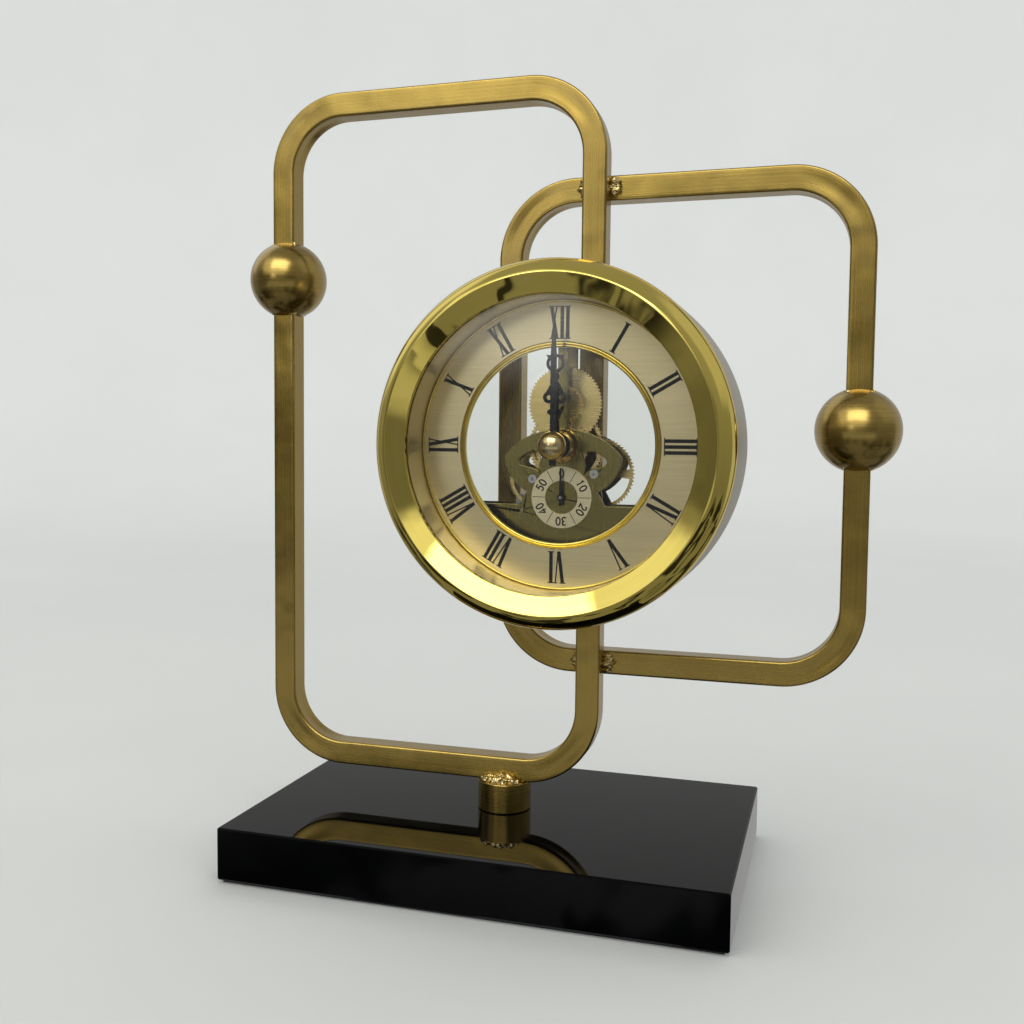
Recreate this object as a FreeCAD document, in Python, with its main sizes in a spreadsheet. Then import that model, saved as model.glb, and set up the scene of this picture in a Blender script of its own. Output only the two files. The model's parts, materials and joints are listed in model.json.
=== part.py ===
"""Mantel clock: two bent tube loops on a black base carry a see-through quartz clock head.

Axes: +X to the viewer's right, +Y away from the viewer, +Z up, millimetres.
Origin: centre of the base's underside. Depths in the clock head are measured forward,
towards the viewer, from the front face of the front loop.
"""
import FreeCAD, Part
import math
import os
import re

import Sketcher
from FreeCAD import Placement, Rotation, Vector

# --- Driving dimensions: name, value in millimetres (or a count), what it is ---
SIZES = [
    ("base_width", 162, "base, left to right"),
    ("base_depth", 99, "base, front to back"),
    ("base_height", 18, "base top above the table"),
    ("base_edge", 0.5, "ground bevel on the base's edges"),
    ("felt_thickness", 1, "felt under the base"),
    ("felt_inset", 1.5, "felt edge inside the base's edge"),
    ("recess_radius", 9, "bolt recess in the underside"),
    ("recess_height", 6, "bolt recess, above the felt"),
    ("washer_radius", 8, "bolt washer"),
    ("washer_thickness", 1.2, "bolt washer"),
    ("bolt_radius", 3, "bolt shank"),
    ("bolt_head_radius", 5, "bolt head, across corners"),
    ("bolt_head_height", 3.6, "bolt head"),
    ("bolt_grip", 6, "bolt shank inside the collar"),
    ("slip_fit", 0.05, "radial clearance of shanks in their holes"),
    ("collar_radius", 9, "post collar"),
    ("collar_height", 10, "post collar, base to loop"),
    ("tube_size", 8, "square tube, outside"),
    ("tube_wall", 1, "square tube wall"),
    ("tube_round", 0.7, "square tube, outside corner"),
    ("bend_radius", 22, "tube bends, at the middle of the tube"),
    ("tube_split", 1, "gap between the tube ends inside a ball"),
    ("front_loop_left", -85.5, "front loop, outer left side"),
    ("front_loop_right", 33, "front loop, outer right side"),
    ("front_loop_top", 260, "front loop, top"),
    ("rear_loop_left", -4.8, "rear loop, outer left side"),
    ("rear_loop_right", 115.4, "rear loop, outer right side"),
    ("rear_loop_bottom", 65.1, "rear loop, underside"),
    ("rear_loop_top", 228.5, "rear loop, top"),
    ("ball_radius", 13.2, "ornamental balls"),
    ("front_ball_height", 197.9, "front loop's ball above the table"),
    ("rear_ball_height", 146.7, "rear loop's ball above the table"),
    ("braze_width", 1.4, "braze collar round the tube at a ball"),
    ("bead_radius", 1.8, "weld beads"),
    ("head_across", 23.8, "clock centre, right of the base's centre"),
    ("head_height", 141, "clock centre above the table"),
    ("drum_radius", 55, "drum case, outside"),
    ("drum_wall", 1, "drum case wall"),
    ("drum_back", 0.2, "drum case back, forward of the front loop"),
    ("drum_front", 32, "drum case front, forward of the front loop"),
    ("drum_lip", 4, "drum case's back lip, inwards"),
    ("bezel_crest", 50, "bezel crest radius"),
    ("bezel_crest_depth", 39, "bezel crest, forward of the front loop"),
    ("bezel_lip", 44.2, "bezel inner edge radius"),
    ("bezel_lip_depth", 36.4, "bezel inner edge, forward of the front loop"),
    ("bezel_lip_thickness", 1.2, "bezel edge in front of the glass"),
    ("bezel_skirt", 6, "bezel skirt inside the drum"),
    ("bezel_skirt_wall", 1.5, "bezel skirt wall"),
    ("glass_radius", 46, "front glass"),
    ("glass_thickness", 1.4, "front glass"),
    ("dial_depth", 21.2, "dial face, forward of the front loop"),
    ("dial_thickness", 0.6, "dial ring"),
    ("dial_radius", 46, "dial ring, outer edge"),
    ("dial_opening", 30.6, "dial ring, inner edge"),
    ("rim_radius", 43.4, "chapter rim, inner edge"),
    ("rim_wire", 0.8, "chapter rim, width and height"),
    ("trim_radius", 29.8, "opening trim, inner edge"),
    ("trim_width", 1.9, "opening trim, width"),
    ("rehaut_wall", 0.8, "rehaut ring wall"),
    ("back_opening", 40, "back frame, inner edge"),
    ("back_thickness", 2.4, "back frame"),
    ("back_glass_thickness", 1, "back glass"),
    ("back_glass_seat", 1.6, "back glass held in the back frame"),
    ("fit_gap", 0.1, "clearance between parts that seat in each other"),
    ("plate_depth", 15, "front plate's rear face, forward of the front loop"),
    ("plate_thickness", 1, "movement plates"),
    ("plate_rim_inner", 36, "movement plates' rim, inner edge"),
    ("plate_rim_outer", 46, "movement plates' rim, outer edge"),
    ("dome_half", 19, "bridge dome, half width"),
    ("dome_wide_level", -3.5, "bridge dome, widest level"),
    ("dome_top", 4.9, "bridge dome, top"),
    ("neck_half", 11.4, "bridge neck, half width"),
    ("neck_level", -14.4, "bridge neck, level"),
    ("foot_level", -18.4, "bridge foot, top edge"),
    ("foot_half", 13.6, "bridge foot, half width where it meets the neck"),
    ("stem_half", 1.7, "bridge stem, half width"),
    ("stem_swell", 3, "bridge stem, half width at its diamond"),
    ("stem_swell_level", 14.8, "bridge stem's diamond, level"),
    ("pillar_radius", 1.6, "movement pillars"),
    ("pillar_circle", 43.9, "movement pillars, circle radius"),
    ("screw_radius", 1, "movement screws, shank"),
    ("screw_head_radius", 1.9, "movement screws, head"),
    ("screw_head_height", 0.8, "movement screws, head"),
    ("wheel_thickness", 0.6, "clock wheels"),
    ("arbor_radius", 0.5, "small arbors"),
    ("pivot_clearance", 0.04, "radial running clearance of arbors"),
    ("side_shake", 0.2, "end play between wheels, hubs and plates"),
    ("leaf_overhang", 0.3, "pinion leaves in front of and behind the wheel they meet"),
    ("leaf_stub", 0.2, "front pivots, in front of the front plate"),
    ("hub_wall", 1.6, "crossed-out wheels' hubs"),
    ("seconds_drop", 16, "seconds arbor below the centre"),
    ("motion_rise", 13, "minute wheel arbor above the centre"),
    ("train_module", 0.37, "third wheel and centre wheel teeth"),
    ("seconds_module", 0.44, "seconds wheel teeth"),
    ("rotor_module", 0.3, "intermediate wheel teeth"),
    ("pinion_leaves", 8, "small pinions"),
    ("centre_teeth", 64, "centre wheel"),
    ("third_teeth", 60, "third wheel"),
    ("seconds_teeth", 40, "seconds wheel"),
    ("intermediate_leaves", 10, "intermediate pinion"),
    ("intermediate_teeth", 60, "intermediate wheel"),
    ("minute_teeth", 64, "minute wheel"),
    ("minute_leaves", 28, "minute wheel's pinion"),
    ("hour_teeth", 42, "hour wheel"),
    ("hour_wheel_depth", 13.9, "hour wheel's rear face"),
    ("minute_wheel_depth", 12.7, "minute wheel's rear face"),
    ("centre_wheel_depth", 11.2, "centre wheel's rear face"),
    ("intermediate_wheel_depth", 10, "intermediate wheel's rear face"),
    ("third_wheel_depth", 8.6, "third wheel's rear face"),
    ("stator_depth", 6.7, "stator's rear face"),
    ("seconds_wheel_depth", 5.3, "seconds wheel's rear face"),
    ("stator_thickness", 1.1, "stator"),
    ("rotor_radius", 2.5, "rotor magnet"),
    ("rotor_gap", 0.4, "air gap round the rotor magnet"),
    ("rotor_overhang", 0.5, "rotor magnet in front of and behind the stator"),
    ("pole_half", 4.4, "stator pole piece, half width"),
    ("stator_arm", 2.8, "stator arm over the coil, height"),
    ("stator_leg", 3.6, "stator leg beyond the coil, width"),
    ("stator_post_radius", 1.2, "stator's posts"),
    ("core_half", 0.9, "coil core, half height"),
    ("bobbin_wall", 0.6, "bobbin sleeve round the core"),
    ("bobbin_flange", 0.8, "bobbin flanges, thickness"),
    ("coil_radius", 2.4, "coil winding"),
    ("coil_length", 16, "coil winding"),
    ("coil_level", -28.1, "coil axis, below the clock centre"),
    ("cell_radius", 7.1, "AA cell"),
    ("cell_length", 50, "AA cell"),
    ("cell_level", -38.2, "AA cell axis, below the clock centre"),
    ("stud_radius", 2.7, "AA cell's stud"),
    ("stud_length", 1.2, "AA cell's stud"),
    ("contact_thickness", 0.4, "cell contacts, sheet"),
    ("board_length", 12, "circuit board, left to right"),
    ("board_height", 9, "circuit board"),
    ("board_thickness", 1, "circuit board"),
    ("cell_depth", 11.6, "AA cell axis, forward of the front loop"),
    ("holder_wall", 0.8, "cell holder wall"),
    ("holder_reach", 27.2, "cell holder, half length"),
    ("zone_top", -30.6, "plates' lower edge above the cell"),
    ("foot_reach", 33, "bridge foot, half width at the rim"),
    ("seconds_dial_radius", 9.6, "seconds dial, outer edge"),
    ("pivot_bush_radius", 1.35, "bushes of the visible pivots"),
    ("pivot_bush_height", 0.3, "bushes of the visible pivots"),
    ("seconds_dial_opening", 5.2, "seconds dial, inner edge"),
    ("seconds_dial_thickness", 0.5, "seconds dial"),
    ("bush_radius", 5.4, "centre nut at the plate"),
    ("bush_front_radius", 4, "centre nut at its front"),
    ("bush_length", 5, "centre nut, forward of the plate"),
    ("hour_pipe_radius", 1.9, "hour pipe, outside"),
    ("minute_arbor_radius", 0.8, "minute arbor"),
    ("shoulder_width", 0.6, "minute arbor's shoulder behind the centre wheel"),
    ("sleeve_wall", 0.5, "hour sleeve wall"),
    ("hour_hand_depth", 25.4, "hour hand's rear face"),
    ("minute_hand_depth", 27.6, "minute hand's rear face"),
    ("hand_thickness", 0.4, "hands"),
    ("hour_hand_length", 27.6, "hour hand, centre to tip"),
    ("minute_hand_length", 35.6, "minute hand, centre to tip"),
    ("seconds_hand_length", 9.2, "seconds hand, centre to tip"),
    ("seconds_hand_depth", 17.6, "seconds hand's rear face"),
    ("hand_hub_radius", 3.7, "hour hand's hub"),
    ("cap_radius", 3.6, "domed cap on the hands"),
    ("knob_radius", 5, "setting knob"),
    ("knob_thickness", 2, "setting knob"),
    ("knob_sink", 0.7, "setting knob, forward of the drum case's back"),
    ("mount_screw_radius", 1.5, "screws through the loops into the head"),
    ("mount_head_radius", 2.8, "their heads"),
    ("mount_head_height", 1.8, "their heads"),
    ("mount_circle", 46.6, "screws' distance from the clock centre"),
    ("spacer_radius", 3.4, "spacers between the head and the rear loop"),
]
NAMES = {name for name, value, note in SIZES}

doc = FreeCAD.newDocument("MantelClock")
sheet = doc.addObject("Spreadsheet::Sheet", "Size")
for row, (name, value, note) in enumerate(SIZES, start=1):
    sheet.set(f"A{row}", note)
    sheet.set(f"B{row}", str(value))
    sheet.setAlias(f"B{row}", name)
scratch = doc.addObject("Spreadsheet::Sheet", "Scratch")
doc.recompute()
parts = []


# --- Reading and binding sizes ---
def cells(formula):
    """A formula in size names, written the way an expression names the sheet's cells."""
    return re.sub(r"[a-z_]+", lambda word: f"Size.{word[0]}" if word[0] in NAMES else word[0], str(formula))


def number(formula):
    """The value of a formula in size names."""
    scratch.set("A1", "=" + cells(formula))
    scratch.recompute()
    return float(scratch.get("A1"))


def bind(thing, **formulas):
    for prop, formula in formulas.items():
        thing.setExpression(prop, cells(formula))


def place(thing, x, y, z, rotation=Rotation()):
    thing.Placement = Placement(Vector(number(x), number(y), number(z)), rotation)
    for axis, formula in zip("xyz", (x, y, z)):
        thing.setExpression(f"Placement.Base.{axis}", cells(formula))


def keep(thing, label):
    """Register a finished sub-part under the name of its file."""
    thing.Label = label
    parts.append(thing)
    return thing


# --- Solids made of primitives ---
FORWARD = Rotation(Vector(1, 0, 0), 90)      # turns +Z towards the viewer, -Y
ALONG_X = Rotation(Vector(0, 1, 0), 90)      # turns +Z to +X
HEAD_X, HEAD_Z = "head_across", "head_height"
LOOP_FACE = "(-tube_size / 2)"               # y of the front loop's front face, where depths start


def box(x0, x1, y0, y1, z0, z1):
    solid = doc.addObject("Part::Box", "Box")
    bind(solid, Length=f"({x1}) - ({x0})", Width=f"({y1}) - ({y0})", Height=f"({z1}) - ({z0})")
    place(solid, x0, y0, z0)
    return solid


def cylinder(radius, length, x, y, z, rotation=Rotation()):
    solid = doc.addObject("Part::Cylinder", "Cylinder")
    bind(solid, Radius=radius, Height=length)
    place(solid, x, y, z, rotation)
    return solid


def forward_cylinder(radius, depth0, depth1, x=HEAD_X, z=HEAD_Z):
    """A cylinder along the head's axis direction, from one depth to a greater one."""
    return cylinder(radius, f"({depth1}) - ({depth0})", x, f"{LOOP_FACE} - ({depth0})", z, FORWARD)


def sideways_cylinder(radius, x0, x1, depth, z):
    """A cylinder along x, its axis at a depth in the head."""
    return cylinder(radius, f"({x1}) - ({x0})", x0, f"{LOOP_FACE} - ({depth})", z, ALONG_X)


def head_box(x0, x1, depth0, depth1, z0, z1):
    """A box in the head, from one depth forward to a greater one."""
    return box(x0, x1, f"{LOOP_FACE} - ({depth1})", f"{LOOP_FACE} - ({depth0})", z0, z1)


def sphere(radius, x, y, z):
    solid = doc.addObject("Part::Sphere", "Sphere")
    bind(solid, Radius=radius)
    place(solid, x, y, z)
    return solid


def fuse(*solids):
    joined = doc.addObject("Part::MultiFuse", "Fuse")
    joined.Shapes = list(solids)
    return joined


def group(*solids):
    """Several loose solids that share one node."""
    joined = doc.addObject("Part::Compound", "Group")
    joined.Links = list(solids)
    return joined


def cut(solid, *tools):
    left = doc.addObject("Part::Cut", "Cut")
    left.Base = solid
    left.Tool = tools[0] if len(tools) == 1 else fuse(*tools)
    return left


# --- Sketched solids ---
def new_sketch(body, role):
    sketch = body.newObject("Sketcher::SketchObject", "Sketch")
    plane = next(feature for feature in body.Origin.OriginFeatures if feature.Role == role)
    sketch.AttachmentSupport = [(plane, "")]
    sketch.MapMode = "FlatFace"
    return sketch


def fix_point(sketch, geometry, end, x, y):
    """Hold a sketch point at x, y from the sketch's origin, both bound to the sheet."""
    for kind, formula in (("DistanceX", x), ("DistanceY", y)):
        index = sketch.addConstraint(Sketcher.Constraint(kind, -1, 1, geometry, end, number(formula)))
        sketch.setExpression(f"Constraints[{index}]", cells(formula))


def add_arc(sketch, start, stop, radius, left_turning):
    """An arc under half a turn; returns its index and its ends in the order drawn."""
    chord = stop - start
    reach = number(radius)
    rise = math.sqrt(max(reach ** 2 - (chord.Length / 2) ** 2, 0))
    normal = Vector(-chord.y, chord.x, 0).normalize() * (rise if left_turning else -rise)
    centre = (start + stop) / 2 + normal
    first, last = (start, stop) if left_turning else (stop, start)
    angles = [math.atan2(point.y - centre.y, point.x - centre.x) for point in (first, last)]
    arc = Part.ArcOfCircle(Part.Circle(centre, Vector(0, 0, 1), reach), *angles)
    geometry = sketch.addGeometry(arc)
    index = sketch.addConstraint(Sketcher.Constraint("Radius", geometry, reach))
    sketch.setExpression(f"Constraints[{index}]", cells(radius))
    return (geometry, 1, 2) if left_turning else (geometry, 2, 1)


def draw(sketch, corners, closed=True):
    """Lines and arcs through corners (x, y) or (x, y, radius, left_turning of the edge that leaves)."""
    points = [Vector(number(corner[0]), number(corner[1]), 0) for corner in corners]
    ends = []
    for at, corner in enumerate(corners if closed else corners[:-1]):
        start, stop = points[at], points[(at + 1) % len(points)]
        if len(corner) == 4:
            ends.append(add_arc(sketch, start, stop, corner[2], corner[3]))
        else:
            ends.append((sketch.addGeometry(Part.LineSegment(start, stop)), 1, 2))
    for at, corner in enumerate(corners if closed else corners[:-1]):
        geometry, first, last = ends[at]
        fix_point(sketch, geometry, first, corner[0], corner[1])
        if closed or at + 1 < len(ends):
            following, its_first, _ = ends[(at + 1) % len(ends)]
            sketch.addConstraint(Sketcher.Constraint("Coincident", geometry, last, following, its_first))
        else:
            fix_point(sketch, geometry, last, corners[-1][0], corners[-1][1])


def circle(sketch, radius, x="0", y="0"):
    centre = Vector(number(x), number(y), 0)
    geometry = sketch.addGeometry(Part.Circle(centre, Vector(0, 0, 1), number(radius)))
    fix_point(sketch, geometry, 3, x, y)
    index = sketch.addConstraint(Sketcher.Constraint("Radius", geometry, number(radius)))
    sketch.setExpression(f"Constraints[{index}]", cells(radius))


def turned(profile, x=HEAD_X, z=HEAD_Z):
    """A solid turned about the head's axis; the profile gives (radius, depth) corners."""
    body = doc.addObject("PartDesign::Body", "Turned")
    sketch = new_sketch(body, "XY_Plane")
    draw(sketch, profile)
    doc.recompute()
    revolution = body.newObject("PartDesign::Revolution", "Revolution")
    revolution.Profile = sketch
    revolution.ReferenceAxis = (sketch, ["V_Axis"])
    revolution.Angle = 360
    place(body, x, LOOP_FACE, z, Rotation(Vector(0, 0, 1), 180))
    return body


def flat(outlines, circles, thickness, depth, x=HEAD_X, z=HEAD_Z):
    """A flat piece facing the viewer, from a depth forward; outlines and holes share its sketch."""
    body = doc.addObject("PartDesign::Body", "Flat")
    sketch = new_sketch(body, "XZ_Plane")
    for corners in outlines:
        draw(sketch, corners)
    for radius, across, up in circles:
        circle(sketch, radius, across, up)
    doc.recompute()
    pad = body.newObject("PartDesign::Pad", "Pad")
    pad.Profile = sketch
    bind(pad, Length=thickness)
    place(body, x, f"{LOOP_FACE} - ({depth})", z)
    return body


def disc_ring(outer, inner, thickness, depth, x=HEAD_X, z=HEAD_Z):
    return flat([], [(outer, "0", "0"), (inner, "0", "0")], thickness, depth, x, z)


# --- Toothed wheels: no primitive draws them, so their shapes are worked out here ---
TOOTH = {"addendum": 0.7, "dedendum": 1.15, "pitch_share": 0.38, "tip_share": 0.12, "root_share": 0.5}


def toothed_outline(teeth, module, phase):
    """Corner points of a spur outline whose first tooth points at the phase angle."""
    radius = teeth * module / 2
    tip = radius + TOOTH["addendum"] * module
    root = radius - TOOTH["dedendum"] * module
    pitch = 2 * math.pi / teeth
    flank = [(root, -TOOTH["root_share"]), (radius, -TOOTH["pitch_share"]), (tip, -TOOTH["tip_share"]),
             (tip, TOOTH["tip_share"]), (radius, TOOTH["pitch_share"]), (root, TOOTH["root_share"])]
    points = []
    for tooth in range(teeth):
        for reach, share in flank[:-1]:
            angle = phase + (tooth + share / 2) * pitch
            points.append(Vector(reach * math.cos(angle), 0, reach * math.sin(angle)))
    return points + points[:1]


def toothed(teeth, module, phase, depth0, depth1):
    face = Part.Face(Part.makePolygon(toothed_outline(teeth, module, phase)))
    solid = face.extrude(Vector(0, -(depth1 - depth0), 0))
    solid.translate(Vector(0, -depth0, 0))
    return solid


def rod(radius, depth0, depth1, x=0.0, z=0.0):
    return Part.makeCylinder(radius, depth1 - depth0, Vector(x, -depth0, z), Vector(0, -1, 0))


def crossing(inner, outer, start, stop, depth0, depth1):
    """A window between two spokes, to be cut from a wheel."""
    rays = [Vector(math.cos(angle), 0, math.sin(angle)) for angle in (start, (start + stop) / 2, stop)]
    edges = [Part.Arc(*(ray * outer for ray in rays)).toShape(),
             Part.LineSegment(rays[2] * outer, rays[2] * inner).toShape(),
             Part.Arc(*(ray * inner for ray in reversed(rays))).toShape(),
             Part.LineSegment(rays[0] * inner, rays[0] * outer).toShape()]
    solid = Part.Face(Part.Wire(edges)).extrude(Vector(0, -(depth1 - depth0), 0))
    solid.translate(Vector(0, -depth0, 0))
    return solid


def wheel(label, teeth, module, phase, depth, bore, spokes, where):
    """A crossed-out wheel on its arbor; the spoke windows leave a rim and a hub."""
    thickness = number("wheel_thickness")
    solid = toothed(teeth, module, phase, depth, depth + thickness)
    rim = teeth * module / 2 - 3.2 * module
    hub = bore + number("hub_wall")
    half_spoke = math.radians(9)
    for spoke in range(spokes):
        start = 2 * math.pi * spoke / spokes + half_spoke
        stop = 2 * math.pi * (spoke + 1) / spokes - half_spoke
        solid = solid.cut(crossing(hub, rim, start, stop, depth, depth + thickness))
    return computed(label, solid.cut(rod(bore, depth - 1, depth + thickness + 1)), where)


def computed(label, solid, where):
    thing = doc.addObject("Part::Feature", label)
    thing.Shape = solid.removeSplitter()
    stand = Vector(number(HEAD_X) + where[0], number(LOOP_FACE), number(HEAD_Z) + where[1])
    thing.Placement = Placement(stand, Rotation())
    return keep(thing, label)


# --- Where the arbors stand, right of and above the clock centre ---
def mesh_distance(teeth, leaves, module):
    return (number(teeth) + number(leaves)) * number(module) / 2


def stand_between(first, first_reach, second, second_reach, side):
    """The point at given distances from two arbors, on the side asked for (+1 is right)."""
    across, up = second[0] - first[0], second[1] - first[1]
    span = math.hypot(across, up)
    along = (first_reach ** 2 - second_reach ** 2 + span ** 2) / (2 * span)
    off = side * math.sqrt(first_reach ** 2 - along ** 2)
    return (first[0] + (along * across - off * up) / span, first[1] + (along * up + off * across) / span)


def polar(origin, reach, degrees):
    angle = math.radians(degrees)
    return (origin[0] + reach * math.cos(angle), origin[1] + reach * math.sin(angle))


INTERMEDIATE_BEARING = 149.7     # direction from the seconds arbor, degrees
ROTOR_BEARING = 250.7            # direction from the intermediate arbor, degrees
CENTRE = (0.0, 0.0)
SECONDS = (0.0, -number("seconds_drop"))
MOTION = (0.0, number("motion_rise"))
THIRD = stand_between(CENTRE, mesh_distance("centre_teeth", "pinion_leaves", "train_module"),
                      SECONDS, mesh_distance("third_teeth", "pinion_leaves", "train_module"), 1)
INTERMEDIATE = polar(SECONDS, mesh_distance("seconds_teeth", "intermediate_leaves", "seconds_module"),
                     INTERMEDIATE_BEARING)
ROTOR = polar(INTERMEDIATE, mesh_distance("intermediate_teeth", "pinion_leaves", "rotor_module"),
              ROTOR_BEARING)


def mesh_phases(wheel_stand, leaf_stand, leaves):
    """Tooth of the wheel towards the pinion, gap of the pinion towards the wheel."""
    towards = math.atan2(leaf_stand[1] - wheel_stand[1], leaf_stand[0] - wheel_stand[0])
    return towards, towards + math.pi + math.pi / leaves


# --- Formulas that several pieces share ---
REAR_PLATE = "(drum_back + drum_wall + back_thickness)"
REAR_PLATE_FRONT = f"({REAR_PLATE} + plate_thickness)"
PLATE_FRONT = "(plate_depth + plate_thickness)"
DIAL_BACK = "(dial_depth - dial_thickness)"
GLASS_FRONT = "(bezel_lip_depth - bezel_lip_thickness)"
GLASS_BACK = f"({GLASS_FRONT} - glass_thickness)"
FRAME_BACK = "(drum_back + drum_wall)"
HALF_TUBE = "(tube_size / 2)"
REAR_LOOP_MIDDLE = "tube_size"       # y of the rear loop's mid plane: it lies behind the front loop
FRONT_LOOP_BOTTOM = "(base_height + collar_height)"


# --- Base ---
def make_base():
    block = box("-base_width / 2", "base_width / 2", "-base_depth / 2", "base_depth / 2",
                "felt_thickness", "base_height")
    doc.recompute()
    rounded = doc.addObject("Part::Chamfer", "BaseEdges")
    rounded.Base = block
    edge = number("base_edge")
    rounded.Edges = [(index, edge, edge) for index in range(1, len(block.Shape.Edges) + 1)]
    recess = cylinder("recess_radius", "recess_height", "0", "0", "felt_thickness")
    hole = cylinder("bolt_radius + slip_fit", "base_height", "0", "0", "felt_thickness")
    keep(cut(rounded, recess, hole), "base_block")
    keep(box("-base_width / 2 + felt_inset", "base_width / 2 - felt_inset", "-base_depth / 2 + felt_inset",
             "base_depth / 2 - felt_inset", "0", "felt_thickness"), "base_felt")
    washer_top = "(felt_thickness + recess_height)"
    head_top = f"({washer_top} - washer_thickness)"
    washer = cylinder("washer_radius", "washer_thickness", "0", "0", head_top)
    washer_hole = cylinder("bolt_radius + slip_fit", "washer_thickness", "0", "0", head_top)
    keep(cut(washer, washer_hole), "base_washer")
    head = doc.addObject("Part::Prism", "BoltHead")
    head.Polygon = 6
    bind(head, Circumradius="bolt_head_radius", Height="bolt_head_height")
    place(head, "0", "0", f"{head_top} - bolt_head_height")
    shank = cylinder("bolt_radius", f"base_height + bolt_grip - {head_top}", "0", "0", head_top)
    keep(fuse(head, shank), "base_bolt")
    collar = cylinder("collar_radius", "collar_height", "0", "0", "base_height")
    bore = cylinder("bolt_radius + slip_fit", "bolt_grip + 1", "0", "0", "base_height")
    keep(cut(collar, bore), "post_collar")


# --- Loops of bent square tube ---
def tube_section(sketch, side, corner):
    """A square with rounded corners about the sketch's origin."""
    flat_end = f"({side} / 2 - {corner})"
    edge = f"({side} / 2)"
    turns = [(flat_end, f"-{edge}"), (edge, f"-{flat_end}"), (edge, flat_end), (flat_end, edge)]
    turns += [(f"-{across}", f"-{up}" if up[0] != "-" else up[1:]) for across, up in turns]
    draw(sketch, [turn + (corner, True) if at % 2 == 0 else turn for at, turn in enumerate(turns)])


def bent_tube(ball_side, width, bottom, top, ball_height, middle, rotation):
    """A closed loop of hollow tube whose two ends meet inside its ball, at local x = 0."""
    body = doc.addObject("PartDesign::Body", "Tube")
    path = new_sketch(body, "XZ_Plane")
    low, high = f"({bottom} + {HALF_TUBE})", f"({top} - {HALF_TUBE})"
    right = f"({width})"
    start, stop = f"{ball_height} - tube_split / 2", f"{ball_height} + tube_split / 2"
    bend = ("bend_radius", True)
    draw(path, [("0", start), ("0", f"{low} + bend_radius") + bend, ("bend_radius", low),
                (f"{right} - bend_radius", low) + bend, (right, f"{low} + bend_radius"),
                (right, f"{high} - bend_radius") + bend, (f"{right} - bend_radius", high),
                ("bend_radius", high) + bend, ("0", f"{high} - bend_radius"), ("0", stop)], closed=False)
    section = new_sketch(body, "XY_Plane")
    section.AttachmentOffset = Placement(Vector(0, 0, number(start)), Rotation())
    section.setExpression("AttachmentOffset.Base.z", cells(start))
    tube_section(section, "tube_size", "tube_round")
    bore = new_sketch(body, "XY_Plane")
    bore.AttachmentOffset = Placement(Vector(0, 0, number(start)), Rotation())
    bore.setExpression("AttachmentOffset.Base.z", cells(start))
    tube_section(bore, "(tube_size - 2 * tube_wall)", "(tube_round / 2)")
    doc.recompute()
    for kind, profile in (("PartDesign::AdditivePipe", section), ("PartDesign::SubtractivePipe", bore)):
        pipe = body.newObject(kind, "Pipe")
        pipe.Profile = profile
        pipe.Spine = (path, [f"Edge{index}" for index in range(1, 10)])
        pipe.Mode = "Frenet"
        pipe.Transition = "Transformed"
        doc.recompute()
    place(body, ball_side, middle, "0", rotation)
    return body


def ball_with_hole(across, middle, height):
    tube = box(f"{across} - {HALF_TUBE} - slip_fit", f"{across} + {HALF_TUBE} + slip_fit",
               f"{middle} - {HALF_TUBE} - slip_fit", f"{middle} + {HALF_TUBE} + slip_fit",
               f"{height} - ball_radius", f"{height} + ball_radius")
    return cut(sphere("ball_radius", across, middle, height), tube)


def braze_collars(across, middle, height):
    """Low collars of braze where the tube enters the ball, top and bottom."""
    reach = f"({HALF_TUBE} + braze_width)"
    solids = []
    for low, high in ((f"{height} + 0.8 * ball_radius", f"{height} + ball_radius"),
                      (f"{height} - ball_radius", f"{height} - 0.8 * ball_radius")):
        solids.append(box(f"{across} - {reach}", f"{across} + {reach}", f"{middle} - {reach}",
                          f"{middle} + {reach}", low, high))
    tube = box(f"{across} - {HALF_TUBE}", f"{across} + {HALF_TUBE}", f"{middle} - {HALF_TUBE}",
               f"{middle} + {HALF_TUBE}", f"{height} - 2 * ball_radius", f"{height} + 2 * ball_radius")
    return cut(group(*solids), tube, sphere("ball_radius", across, middle, height))


def mount_points():
    """Screws through the loops into the head: (x, y of the tube's middle, height) with signs."""
    points = []
    for across, middle in ((f"(front_loop_right - {HALF_TUBE})", "0"),
                           (f"(rear_loop_left + {HALF_TUBE})", REAR_LOOP_MIDDLE)):
        rise = f"sqrt(mount_circle ^ 2 - ({across} - head_across) ^ 2)"
        points += [(across, middle, f"(head_height + {rise})"), (across, middle, f"(head_height - {rise})")]
    return points


def screw_holes(points):
    radius = "mount_screw_radius + slip_fit"
    return [cylinder(radius, "2 * tube_size", across, f"{middle} + tube_size", height, FORWARD)
            for across, middle, height in points]


def make_loops():
    points = mount_points()
    front_ball_x = f"(front_loop_left + {HALF_TUBE})"
    rear_ball_x = f"(rear_loop_right - {HALF_TUBE})"
    front = bent_tube(front_ball_x, "front_loop_right - front_loop_left - tube_size", FRONT_LOOP_BOTTOM,
                      "front_loop_top", "front_ball_height", "0", Rotation())
    keep(cut(front, *screw_holes(points[:2])), "front_loop")
    rear = bent_tube(rear_ball_x, "rear_loop_right - rear_loop_left - tube_size", "rear_loop_bottom",
                     "rear_loop_top", "rear_ball_height", REAR_LOOP_MIDDLE, Rotation(Vector(0, 0, 1), 180))
    keep(cut(rear, *screw_holes(points[2:])), "rear_loop")
    brazes = []
    for name, across, middle, height in (("front", front_ball_x, "0", "front_ball_height"),
                                         ("rear", rear_ball_x, REAR_LOOP_MIDDLE, "rear_ball_height")):
        keep(ball_with_hole(across, middle, height), f"{name}_ball")
        brazes.append(braze_collars(across, middle, height))
    keep(group(*brazes), "ball_brazes")


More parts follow.
